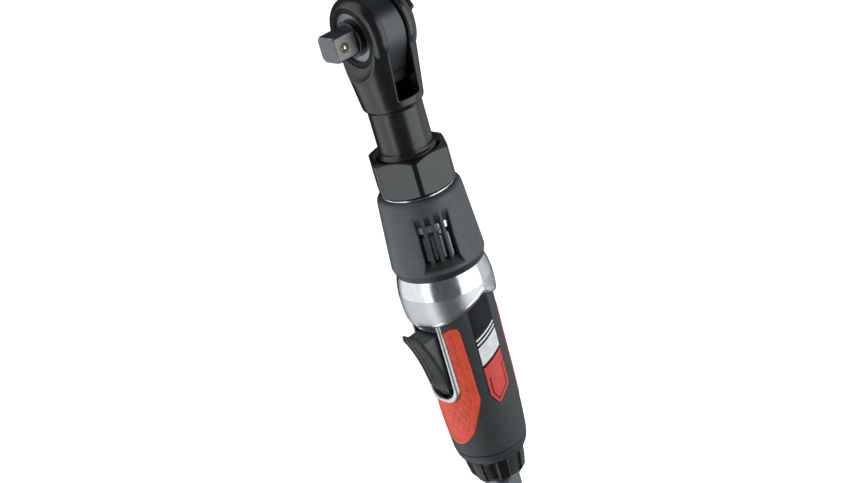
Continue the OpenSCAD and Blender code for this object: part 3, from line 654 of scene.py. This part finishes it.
def boot_field(x, y, z):
    """Rubber exhaust boot with a slotted, sunk window on each side."""
    rho, phi = polar(y, z)
    skin = (rho - boot_skin(x)) * 0.997
    shape = both(skin, BOOT[0] - x, 2.6)
    shape = both(shape, (rho - 22.75 - (BOOT[1] - x) * 0.33) * 0.95, 0.1)
    shape = both(shape, x - BOOT[1], 0.3)
    bore = np.minimum(rho - 18.75, both(rho - BOOT_BORE, 86.4 - x, 0))
    bore = np.minimum(bore, both(rho - 22.5, 123.4 - x))
    shape = cut(shape, bore, 0.12)
    off = turned(abs(phi), WINDOW_PHI)
    across = np.radians(off) * 22.6
    # sunk panel: ramps down at both ends, flaring at the wide end like a tail
    depth = profile(x, [(88, -0.9), (90.4, 0.0), (98, 2.4), (103, 3.2), (116.2, 3.2), (121.0, 0.0),
                        (124, -1.5)])
    width = profile(x, [(88, 9.6), (90, 9.5), (102, 8.85), (115.8, 8.85), (120.8, 10.4), (124, 11.4)])
    panel = both((boot_skin(x) - depth - rho) * 0.9, (abs(across) - width) * 0.93, 0.25)
    # ribs that stay between the slots
    near = across - SLOT_PITCH * np.round(across / SLOT_PITCH)
    ribs = both(abs(near) - 0.9, abs(across) - 6.2)
    ribs = both(ribs, (rho - boot_skin(x) + profile(x, [(90, 0.15), (115.5, 0.5), (120, 2.4)])) * 0.9, 0.45)
    shape = cut(shape, cut(panel, ribs, 0.25), 0.3)
    # the slots themselves
    lane = across - SLOT_PITCH * (np.round(across / SLOT_PITCH - 0.5) + 0.5)
    slots = both(both(abs(lane) - SLOT_HALF_WIDTH, abs(across) - 10), between(x, *SLOTS_X), 0.3)
    shape = cut(shape, both(slots, 17 - rho), 0.15)
    # faint parting line of the mould
    seam = np.hypot(rho - boot_skin(x) - 0.05, np.radians(turned(abs(phi), 96)) * 23) - 0.14
    shape = cut(shape, both(seam, between(x, 106, 121)), 0.1)
    return shape


def boot_painted_shade(p):
    """Painted shade on the boot: how much darker it is, full in the sunk window and on the turned lip."""
    x, rho = p[:, 0], np.hypot(p[:, 1], p[:, 2])
    sunk = np.clip((boot_skin(x) - rho - 0.15) / 0.7, 0, 1) * between_flat(x, 89, 121.6)
    return np.maximum(sunk * 0.85, np.clip((x - LIP_X) / 0.3, 0, 1) * np.clip((rho - 21) / 1, 0, 1))


def edge_field(x, y):
    """Region behind the arched edge where the sleeve covers the housing."""
    return outline(x, y, ARCH)


def pocket_field(x, z, grow=0.0):
    """Plan of the lever pocket: straight sides and a rounded end."""
    half, end = POCKET_HALF + grow, POCKET_END + grow
    return both(abs(z) - half, x - end, 7.0)


BULGE = [(124, 22.3), (127, 22.8), (130, 23.55), (134, 24.25), (138, 24.5), (142, 24.5), (146, 24.25),
         (150, 23.75), (154, 23.0), (158, 22.1), (162, 21.3)]


def housing_field(x, y, z):
    """Aluminium motor housing: threaded nose, tube under the boot, bright bulge, core and lever rim."""
    rho, phi = polar(y, z)
    bulge = both((rho - smooth_profile(x, BULGE)) * 0.97, between(x, 123.6, 170), 0.4)
    bulge = cut(bulge, edge_field(x, y), EDGE_ROUNDING)
    tube = both(rho - BOOT_BORE + 0.05, between(x, 86.3, 140), 0.3)
    shape = join(bulge, tube)
    shape = join(shape, both(rho - 18.7, between(x, 82.7, 90), 0.25))
    shape = join(shape, both(rho - 17.4, between(x, 70.2, 90), 0.5))
    shape = join(shape, both(rho - CORE_R, between(x, 130, SLEEVE_END)))
    shape = join(shape, both(rho - 16, between(x, 220, 236)))
    # exhaust openings, which the bars stand in
    across = np.radians(turned(abs(phi), WINDOW_PHI)) * 19.4
    window = both(both(abs(across) - 10.2, between(x, SLOTS_X[0] - 2, SLOTS_X[1] + 0.6), 0.8), 14 - rho)
    shape = cut(shape, window, 0.3)
    # raised rim round the lever, and the pocket inside it
    rim = both(both(pocket_field(x, z, RIM_WALL - 0.25), rho - RIM_R + 1.4), between(x, 150, 200))
    rim = both(rim, y)
    shape = join(shape, rim)
    pocket = both(both(pocket_field(x, z), y + POCKET_FLOOR, 0.8), POCKET_START - x, 0.3)
    shape = cut(shape, pocket, 0.1)
    # motor bore, air passage, valve chamber and the inlet's bore
    bores = [(15.9, 60, 140), (5.0, 130, 200), (8.05, 195.5, 235.8), (10.05, 223.7, 240)]
    for r, low, high in bores:
        shape = cut(shape, both(rho - r, between(x, low, high)))
    shape = cut(shape, both(np.hypot(x - PIN_X, z) - 3.2, between(y, -20, -2)))
    return cut(shape, both(np.hypot(x - HINGE_X, y - HINGE_Y) - 1.5, abs(z) - 10.7))


def rim_field(x, y, z):
    """Rounded rim of the lever's pocket."""
    rho = np.hypot(y, z)
    wall = both(pocket_field(x, z, RIM_WALL), -pocket_field(x, z))
    rim = both(wall, rho - RIM_R, 0.85)
    rim = both(rim, 19.2 - rho)
    return both(both(rim, y), 151.5 - x, 0.8)


def bars_field(side):
    """Round bars left between the exhaust openings of one side."""
    def field(x, y, z):
        rho, phi = polar(y, z)
        across = np.radians(turned(phi, side * WINDOW_PHI)) * BAR_R
        lane = across - BAR_PITCH * (np.clip(np.round(across / BAR_PITCH - 0.5), -2, 1) + 0.5)
        tip = np.maximum(SLOTS_X[0] + 1.5 - x, 0)
        bars = np.sqrt(lane ** 2 + (rho - BAR_R) ** 2 + tip ** 2) - 1.3
        return both(bars, x - SLOTS_X[1] - 1)
    return field


def edge_band_field(x, y, z):
    """Brushed band along the arched lower edge of the bulge, a skin on the casting."""
    rho = np.hypot(y, z)
    edge = edge_field(x, y)
    skin = (rho - smooth_profile(x, BULGE)) * 0.97
    skin = cut(skin, edge, EDGE_ROUNDING)
    band = both(skin - 0.07, -skin - 0.5)
    wide = 4.3 + 0.03 * y
    return both(both(band, edge_field(x + wide, y) * -1), between(x, 134, 160))


# ---- grip: sleeve, red inserts and badges ----

INSERT_HALF = [(156.6, 9.0), (155.3, 12.0), (154.0, 14.8), (153.9, 16.0), (154.7, 17.1), (157, 17.6),
               (196, 17.6), (198.5, 17.3), (203, 16.2), (211, 13.7), (215.5, 11.9), (218.2, 10.3), (220.6, 8.2),
               (222.7, 5.6), (224.0, 2.8), (224.5, 0.0)]
INSERT = INSERT_HALF + [(x, -z) for x, z in reversed(INSERT_HALF[:-1])]
BACK_HALF = [(157, 11), (159.5, 14.3), (205, 14.3), (211.5, 12.4), (215.5, 8), (217, 0.5)]
BACK = BACK_HALF + [(x, -z) for x, z in reversed(BACK_HALF)]


def grip_skin(x):
    """Outer radius of the grip sleeve."""
    return smooth_profile(x, GRIP)


def sleeve_field(x, y, z):
    """Soft grip sleeve with its arched front edge and the beds of the inserts."""
    rho = np.hypot(y, z)
    shape = both((rho - grip_skin(x)) * 0.99, x - SLEEVE_END, 0.5)
    shape = both(shape, edge_field(x - 0.05, y), 0.35)
    shape = cut(shape, rho - CORE_R - 0.02)
    shape = cut(shape, both(pocket_field(x, z, RIM_WALL + 0.06), y), 0.3)
    bed = np.minimum(both(outline(x, z, INSERT) - 0.06, y), both(outline(x, z, BACK) - 0.06, -y))
    return cut(shape, both(bed, 19.6 - rho), 0.3)


def bumps(x, around, pitch, r):
    """Distance to the nearest of a staggered field of round bumps, as a height from 0 to 1."""
    row = np.round(x / (pitch * 0.866))
    dx = x - row * pitch * 0.866
    shift = (row % 2) * 0.5 * pitch
    ds = around - shift - pitch * np.round((around - shift) / pitch)
    return np.clip((r - np.hypot(dx, ds)) / 0.35, 0, 1)


def textured(x, rho, phi, plan, border, proud):
    """Distance to an insert's outer skin: a raised border round a sunk field of round bumps."""
    field = np.clip((-plan - border) / 0.7, 0, 1)
    field = field * field * (3 - 2 * field)
    inner = np.clip((-plan - border - 0.7) / 0.3, 0, 1)
    height = proud - 0.5 * field + 0.2 * bumps(x, np.radians(phi) * 21.4, 3.8, 1.5) * inner
    return (rho - grip_skin(x) - height) * 0.75


def front_insert_field(x, y, z):
    """Red insert round the lever."""
    rho, phi = polar(y, z)
    plan = outline(x, z, INSERT)
    edge = np.maximum(plan, -pocket_field(x, z, RIM_WALL + 0.1))
    shape = both(textured(x, rho, phi, plan, 2.3, 0.12), edge, 0.5)
    return both(both(shape, 19.4 - rho), y)


def back_insert_field(x, y, z):
    """Red insert on the side away from the lever."""
    rho, phi = polar(y, z)
    plan = outline(x, z, BACK)
    shape = both(textured(x, rho, turned(phi, 180), plan, 2.1, 0.25), plan, 0.5)
    return both(both(shape, 19.4 - rho), -y)


BADGE = [(138, -6.9), (196.8, -7.1), (203.2, -3.4), (203.2, -1.6), (196, 7.2), (138, 7.5)]


def badge_field(side, region, high):
    """Part of a badge: a plate that follows the sleeve and stands a little proud of it."""
    def field(x, y, z):
        rho = np.hypot(y, z)
        shape = both((rho - grip_skin(x) - high) * 0.99, 19.6 - rho)
        shape = both(shape, outline(x, y, BADGE), 0.06)
        shape = both(shape, region(x, y), 0.06)
        return both(both(shape, edge_field(x - 0.7, y)), -side * z)
    return field


def whole_badge(x, y):
    """The badge's whole outline."""
    return outline(x, y, BADGE)


def silver_stripes(x, y):
    """A broad slanted stripe and two thin ones."""
    slant = x + 0.42 * y
    stripes = between(slant, 166.2, 176.6)
    for low in (161.4, 163.8):
        stripes = np.minimum(stripes, between(slant, low, low + 1.2))
    return np.maximum(stripes * 0.92, whole_badge(x, y) + 0.5)


def red_tail(x, y):
    """The badge's pointed end, inside a thin border."""
    return np.maximum((178.2 - x - 0.42 * y) * 0.92, whole_badge(x, y) + 0.5)


def tail_line(x, y):
    """An inset line that follows the pointed end."""
    inset = abs(whole_badge(x, y) + 2.5) - 0.32
    return np.maximum(inset, (184.6 - x - 0.42 * y) * 0.92)


# ---- lever ----

LEVER_TOP = [(155.4, -30.2), (158, -29.9), (162, -28.2), (166, -26.7), (172, -24.9), (178, -23.5),
             (184, -22.5), (189, -21.8), (192.6, -20.6)]
WEB = [(157.6, -28.4), (166, -25.4), (178, -22.2), (189, -20.2), (193.6, -18.6), (192.2, -15.6),
       (189, -14.6), (180, -14.8), (160.4, -16.2), (158, -17.4), (157.2, -20)]
WEB_HOLLOW = [(160.4, -24.4), (166, -23.6), (177, -20.9), (184.8, -19.4), (184.8, -9), (160.4, -9)]


def paddle_width(x):
    """Half width of the lever, rounded off at its hinge end."""
    return LEVER_HALF * np.sqrt(np.clip(1 - np.clip((x - 186.6) / 7.0, 0, 1) ** 2, 0.0, 1)) - 0.05


def lever_field(x, y, z):
    """Throttle lever's paddle, ribbed, with a curled tip."""
    top = smooth_profile(x, LEVER_TOP)
    # the paddle bows down towards its middle, with ridges along it
    dish = 0.5 * (z / LEVER_HALF) ** 2
    ridge = 0.38 * np.cos(z * 2 * math.pi / 3.7) * np.clip((abs(z) - 0.2) * 2, 0, 1)
    ridge = ridge * np.clip((192 - x) / 8, 0, 1)
    upper = (top + 0.6 - dish - ridge - y) * 0.72
    width = paddle_width(x) - 0.4 * np.clip((158 - x) / 3, 0, 1)
    lip = profile(x, [(154, 1.5), (158, 1.9), (166, 2.1), (194, 2.4)])
    paddle = both(upper, (y - top - lip) * 0.85, 0.6)
    paddle = both(paddle, (abs(z) - width) * 0.9, 0.8)
    paddle = both(paddle, 155.1 - x, 0.9)
    return cut(paddle, np.hypot(x - HINGE_X, y - HINGE_Y) - 1.56)


def lever_web_field(x, y, z):
    """Hollow body under the paddle, with smooth sides, round the push pin and the hinge."""
    width = paddle_width(x)
    web = outline(x, y, WEB)
    web = both(web, (abs(z) - width + 0.25) * 0.9, 0.35)
    hollow = outline(x, y, WEB_HOLLOW)
    hollow = both(hollow, abs(z) - LEVER_HALF + 2.0)
    boss = both(abs(x - PIN_X) - 3.2, abs(z) - 3)
    boss = both(boss, y + 15.6)
    web = cut(web, cut(hollow, boss))
    return cut(web, np.hypot(x - HINGE_X, y - HINGE_Y) - 1.56)


# ---- tail ----


def collar_field(x, y, z):
    """Plastic collar that closes the grip."""
    rho = np.hypot(y, z)
    skin = smooth_profile(x, [(COLLAR[0], 19.45), (233.5, 19.1), (235.6, 18.45), (237.4, 17.5),
                              (239, 16.2)])
    shape = both((rho - skin) * 0.9, between(x, *COLLAR), 0.45)
    shape = cut(shape, both(rho - 16.03, x - 236.1))
    return cut(shape, rho - 10.7)


def knob_field(x, y, z):
    """Air regulator ring: smooth panels and sunk, ribbed pads in turn."""
    rho, phi = polar(y, z)
    skin = smooth_profile(x, [(KNOB[0], 16.35), (241.8, 16.15), (247.4, 15.25), (250.2, 14.6), (252, 13.3)])
    lobe = turned(phi * 7, 12 * 7) / 7
    around = np.radians(lobe) * 15.6
    pad = turned(phi * 7, 38 * 7) / 7
    pad_around = np.radians(pad) * 15.4
    scallop = 0.75 * np.clip((abs(around) - 2.6) / 1.0, 0, 1)
    ribs = 0.28 * np.cos((x - 240.6) * 2 * math.pi / 1.55) - 0.1
    sunk = np.clip((2.9 - abs(pad_around)) / 0.4, 0, 1) * np.clip((x - 239.8) / 0.4, 0, 1)
    sunk = sunk * np.clip((250 - x) / 0.4, 0, 1)
    shape = both((rho - skin + scallop - (ribs - 0.1) * sunk) * 0.6, between(x, *KNOB), 0.5)
    return cut(shape, rho - 10.5)


def inlet_field(x, y, z):
    """Steel inlet bushing with its hexagon, thread and seal groove."""
    rho, phi = polar(y, z)
    turn = np.radians(turned(phi, 41 + 60 * np.round(turned(phi, 41) / 60)))
    hexagon = both(rho * np.cos(turn) - 8.5, between(x, 252, TOOL_END), 0.2)
    hexagon = both(hexagon, (rho - 9.7 + (x - TOOL_END + 0.9) * 0.9) * 0.74, 0.3)
    shape = join(hexagon, both(rho - 11.6, between(x, 252.3, 254.3), 0.3))
    shape = join(shape, both(rho - 10.45, between(x, 236.2, 252.4)))
    shape = join(shape, both(rho - 10, between(x, 224, 237), 0.4))
    thread = 0.34 * abs(turned((x / 1.34 * 360 + phi), 0)) / 180
    shape = cut(shape, both((rho - 5.72 - thread) * 0.8, TOOL_END - 12 - x), 0.1)
    shape = cut(shape, (rho - 7.2 + (TOOL_END - x) * 1.2) * 0.64, 0.1)
    shape = cut(shape, both(rho - 5, 248 - x))
    shape = cut(shape, rho - 4)
    return cut(shape, both(8.25 - rho, between(x, 229, 231)))


def build():
    """Every piece that stands for a CAD node."""
    m = MATERIAL
    piece("head_casting", head_field, (-20.5, -20.5, -20.5), (85, 20.5, 20.5), 0.42, "housing",
          "head_black", m["head_black"], "ratchet_housing")
    piece("ring_turning", ring_field, (-15.2, -13.2, -15.2), (15.2, -11.4, 15.2), 0.17, "housing",
          "black_oxide", m["black_oxide"], "retaining_ring")
    piece("yoke_forging", yoke_field, (-18.5, -7, -18.5), (34, 7, 18.5), 0.34, "yoke", "yoke_steel",
          m["yoke_steel"], "ratchet_yoke")
    piece("anvil_square", square_field, (-7.5, -SQUARE_END - 0.8, -7.5), (7.5, -13.8, 7.5), 0.15, "drive",
          "drive_steel", m["drive_steel"], "anvil", wear_and_painted_shade=True)
    # the anvil's shank and drum take the near black of painted shade
    piece("anvil_drum", drum_field, (-13.5, -15.8, -13.5), (13.5, 12.5, 13.5), 0.27, "drive", "drive_steel",
          m["drum_black"], "anvil")
    ball_y = -SHOULDER - BALL_DOWN
    piece("detent_ring", ball_ring_field, (-3.4, ball_y - 3.4, 5.4), (3.4, ball_y + 3.4, 6.6), 0.1, "drive",
          "bronze", m["ball_ring"])
    piece("reverse_button", knob_tab_field, (-14, 11.5, -14), (14, 19, 16.5), 0.28, "selector", "knob_black",
          m["knob_black"], "reverse_knob")
    piece("hexagon_nut", nut_field, (61.5, -21.5, -21.5), (83.5, 21.5, 21.5), 0.35, "housing", "nut_black",
          m["nut_black"], "clamp_nut")
    # the boot's mesh carries a painted shade mask for its sunk window and turned lip
    piece("boot_moulding", boot_field, (82.5, -25, -25), (127.5, 25, 25), 0.34, "housing",
          "boot_rubber", m["boot_rubber"], "exhaust_boot", wear_and_painted_shade=boot_painted_shade)
    piece("housing_casting", housing_field, (69, -25.5, -25.5), (237, 25.5, 25.5), 0.5, "housing",
          "bright_aluminium", m["bright_aluminium"], "motor_housing")
    for name, side in (("right", 1), ("left", -1)):
        low, high = (102.5, -20, 5), (118.5, 4, 20.5)
        if side < 0:
            low, high = (102.5, -20, -20.5), (118.5, 4, -5)
        piece("exhaust_bars_" + name, bars_field(side), low, high, 0.2, "housing", "bright_aluminium",
              m["cast_aluminium"], "motor_housing")
    piece("lever_rim", rim_field, (150.5, -23.2, -11.6), (198, -14, 11.6), 0.25, "housing", "bright_aluminium",
          m["cast_aluminium"], "motor_housing")
    piece("bulge_edge", edge_band_field, (136, -25.5, -25.5), (160, 25.5, 25.5), 0.3, "housing",
          "bright_aluminium", m["satin_aluminium"])
    piece("sleeve_moulding", sleeve_field, (141, -23, -23), (232.5, 23, 23), 0.45, "housing", "grip_rubber",
          m["grip_rubber"], "grip_sleeve")
    piece("insert_front_moulding", front_insert_field, (152.5, -23, -19), (226, -9, 19), 0.27, "housing",
          "red_rubber", m["red_rubber"], "grip_insert_front")
    piece("insert_back_moulding", back_insert_field, (155, 13, -16), (218.5, 23.5, 16), 0.27, "housing",
          "red_rubber", m["red_rubber"], "grip_insert_back")
    for name, side in (("right", 1), ("left", -1)):
        low, high = (140, -9, 18), (205, 9, 23)
        if side < 0:
            low, high = (140, -9, -23), (205, 9, -18)
        piece("badge_%s_base" % name, badge_field(side, whole_badge, 0.12), low, high, 0.2, "housing", "badge",
              m["badge"], "badge_" + name)
        for part, region, high_by, finish in (("stripes", silver_stripes, 0.18, "badge_silver"),
                                              ("tail", red_tail, 0.18, "badge_red"),
                                              ("line", tail_line, 0.24, "badge")):
            piece("badge_%s_%s" % (name, part), badge_field(side, region, high_by), low, high, 0.2, "housing",
                  "badge", m[finish])
    piece("lever_paddle", lever_field, (153.5, -31.5, -8.6), (196, -13.5, 8.6), 0.24, "lever",
          "lever_plastic", m["lever_plastic"], "throttle_lever")
    # the web's sides take the lighter grey of painted reflection
    piece("lever_web", lever_web_field, (156, -29.5, -8.6), (195.5, -13.5, 8.6), 0.27, "lever",
          "lever_plastic", m["lever_side"], "throttle_lever")
    piece("collar_moulding", collar_field, (231, -20.5, -20.5), (239.2, 20.5, 20.5), 0.38, "housing",
          "collar_rubber", m["collar_rubber"], "rear_collar")
    piece("regulator_moulding", knob_field, (237.8, -17.5, -17.5), (252.8, 17.5, 17.5), 0.27, "regulator",
          "knob_black", m["knob_black"], "regulator_knob")
    piece("inlet_turning", inlet_field, (223, -12.5, -12.5), (265.5, 12.5, 12.5), 0.3, "housing", "inlet_steel",
          m["inlet_steel"], "inlet_bushing")


def finish_cad_nodes():
    """Gives each CAD node the material of its slot."""
    slot_of = {s["node"]: s["material_slot"] for s in frame["record"]["subparts"]}
    for name, ob in nodes.items():
        ob.data.materials.clear()
        ob.data.materials.append(MATERIAL[slot_of[name]])


# ---- studio ----

CAMERA_LENS = 71.33
CAMERA_ANGLES = (-128.436, 48.982, 104.702)
CAMERA_TARGET = (0.11331, 0.01211, 0)
CAMERA_DISTANCE = 0.8464
FLOOR_HALF = 6.0
FLOOR_GAP = 0.0002
WORLD_STRENGTH = 0.12
LIGHT_COLOUR = (0.93, 0.98, 1.0)
# how strongly the floor glows: seen directly, in front of the tool and far behind it, with the
# places along Y in metres where the last two fade out and in
TABLE_SEEN = 1.2
TABLE_GLOW = 1.05
TABLE_FADE = (-0.016, -0.005)
TABLE_FAR = (0.12, 0.2)
TABLE_FAR_GLOW = 0.4


def add_area(name, place, target, size, power):
    """A soft rectangular light that faces a point."""
    data = bpy.data.lights.new(name, "AREA")
    data.shape = "RECTANGLE"
    data.size, data.size_y = size
    data.energy = power
    data.color = LIGHT_COLOUR
    ob = bpy.data.objects.new(name, data)
    bpy.context.scene.collection.objects.link(ob)
    ob.location = place
    ob.rotation_euler = (Vector(target) - Vector(place)).to_track_quat("-Z", "Y").to_euler()
    return ob


def add_floor():
    """A floor just under the tool that glows: pale to the camera, uneven in its light on the tool."""
    half = FLOOR_HALF
    low = cad_box[0].z - FLOOR_GAP
    mesh = bpy.data.meshes.new("floor")
    corners = [(-half, -half, low), (half, -half, low), (half, half, low), (-half, half, low)]
    mesh.from_pydata(corners, [], [(0, 1, 2, 3)])
    ob = bpy.data.objects.new("floor", mesh)
    bpy.context.scene.collection.objects.link(ob)
    m, tree, shader = new_material("floor_white", (0.2, 0.2, 0.2), 0.9)
    tint(tree, shader, noise(tree, 3), (0.19, 0.19, 0.19), (0.21, 0.21, 0.21))
    shader.inputs["Emission Color"].default_value = (*LIGHT_COLOUR, 1)
    # the table glows in front of the tool and, as seen directly, all over
    where = tree.nodes.new("ShaderNodeSeparateXYZ")
    tree.links.new(tree.nodes.new("ShaderNodeTexCoord").outputs["Object"], where.inputs[0])
    front = ranged(tree, where.outputs["Y"], TABLE_FADE[0], TABLE_FADE[1], TABLE_GLOW, 0.0)
    far = ranged(tree, where.outputs["Y"], TABLE_FAR[0], TABLE_FAR[1], 0.0, TABLE_FAR_GLOW)
    seen = tree.nodes.new("ShaderNodeLightPath").outputs["Is Camera Ray"]
    direct = ranged(tree, seen, 0, 1, 0, TABLE_SEEN)
    glow = front
    for other in (far, direct):
        brighter = tree.nodes.new("ShaderNodeMath")
        brighter.operation = "MAXIMUM"
        tree.links.new(glow, brighter.inputs[0])
        tree.links.new(other, brighter.inputs[1])
        glow = brighter.outputs[0]
    tree.links.new(glow, shader.inputs["Emission Strength"])
    mesh.materials.append(m)


def add_world():
    """A dim even surround."""
    world = bpy.data.worlds.new("studio")
    world.use_nodes = True
    world.node_tree.nodes["Background"].inputs["Color"].default_value = (0.9, 0.95, 1, 1)
    world.node_tree.nodes["Background"].inputs["Strength"].default_value = WORLD_STRENGTH
    bpy.context.scene.world = world
    bpy.context.scene.view_settings.view_transform = "Standard"


def add_camera():
    """Camera above and in front of the tool, rolled so that the tool runs down the frame."""
    data = bpy.data.cameras.new("camera")
    data.sensor_width = 36
    data.lens = CAMERA_LENS
    data.clip_start, data.clip_end = 0.01, 100
    ob = bpy.data.objects.new("camera", data)
    bpy.context.scene.collection.objects.link(ob)
    azimuth, elevation, roll = (math.radians(a) for a in CAMERA_ANGLES)
    away = Vector((math.cos(azimuth) * math.cos(elevation), math.sin(azimuth) * math.cos(elevation),
                   math.sin(elevation)))
    level = Vector((0, 0, 1)).cross(away).normalized()
    turn = Matrix((level, away.cross(level), away)).transposed().to_4x4()
    target = Vector(CAMERA_TARGET)
    ob.matrix_world = Matrix.Translation(target + away * CAMERA_DISTANCE) @ turn @ Matrix.Rotation(roll, 4, "Z")
    bpy.context.scene.camera = ob


finish_cad_nodes()
build()
add_floor()
add_world()
middle = (0.12, 0.015, 0)
add_area("overhead", (0.15, 0.42, 0.85), middle, (1.4, 1.1), 9)
add_area("back_panel", (0.3, 1.5, 0.42), middle, (3.0, 0.8), 5)
add_area("front_strip", (0.4, -1.0, 0.13), middle, (1.8, 0.32), 3.2)
add_camera()
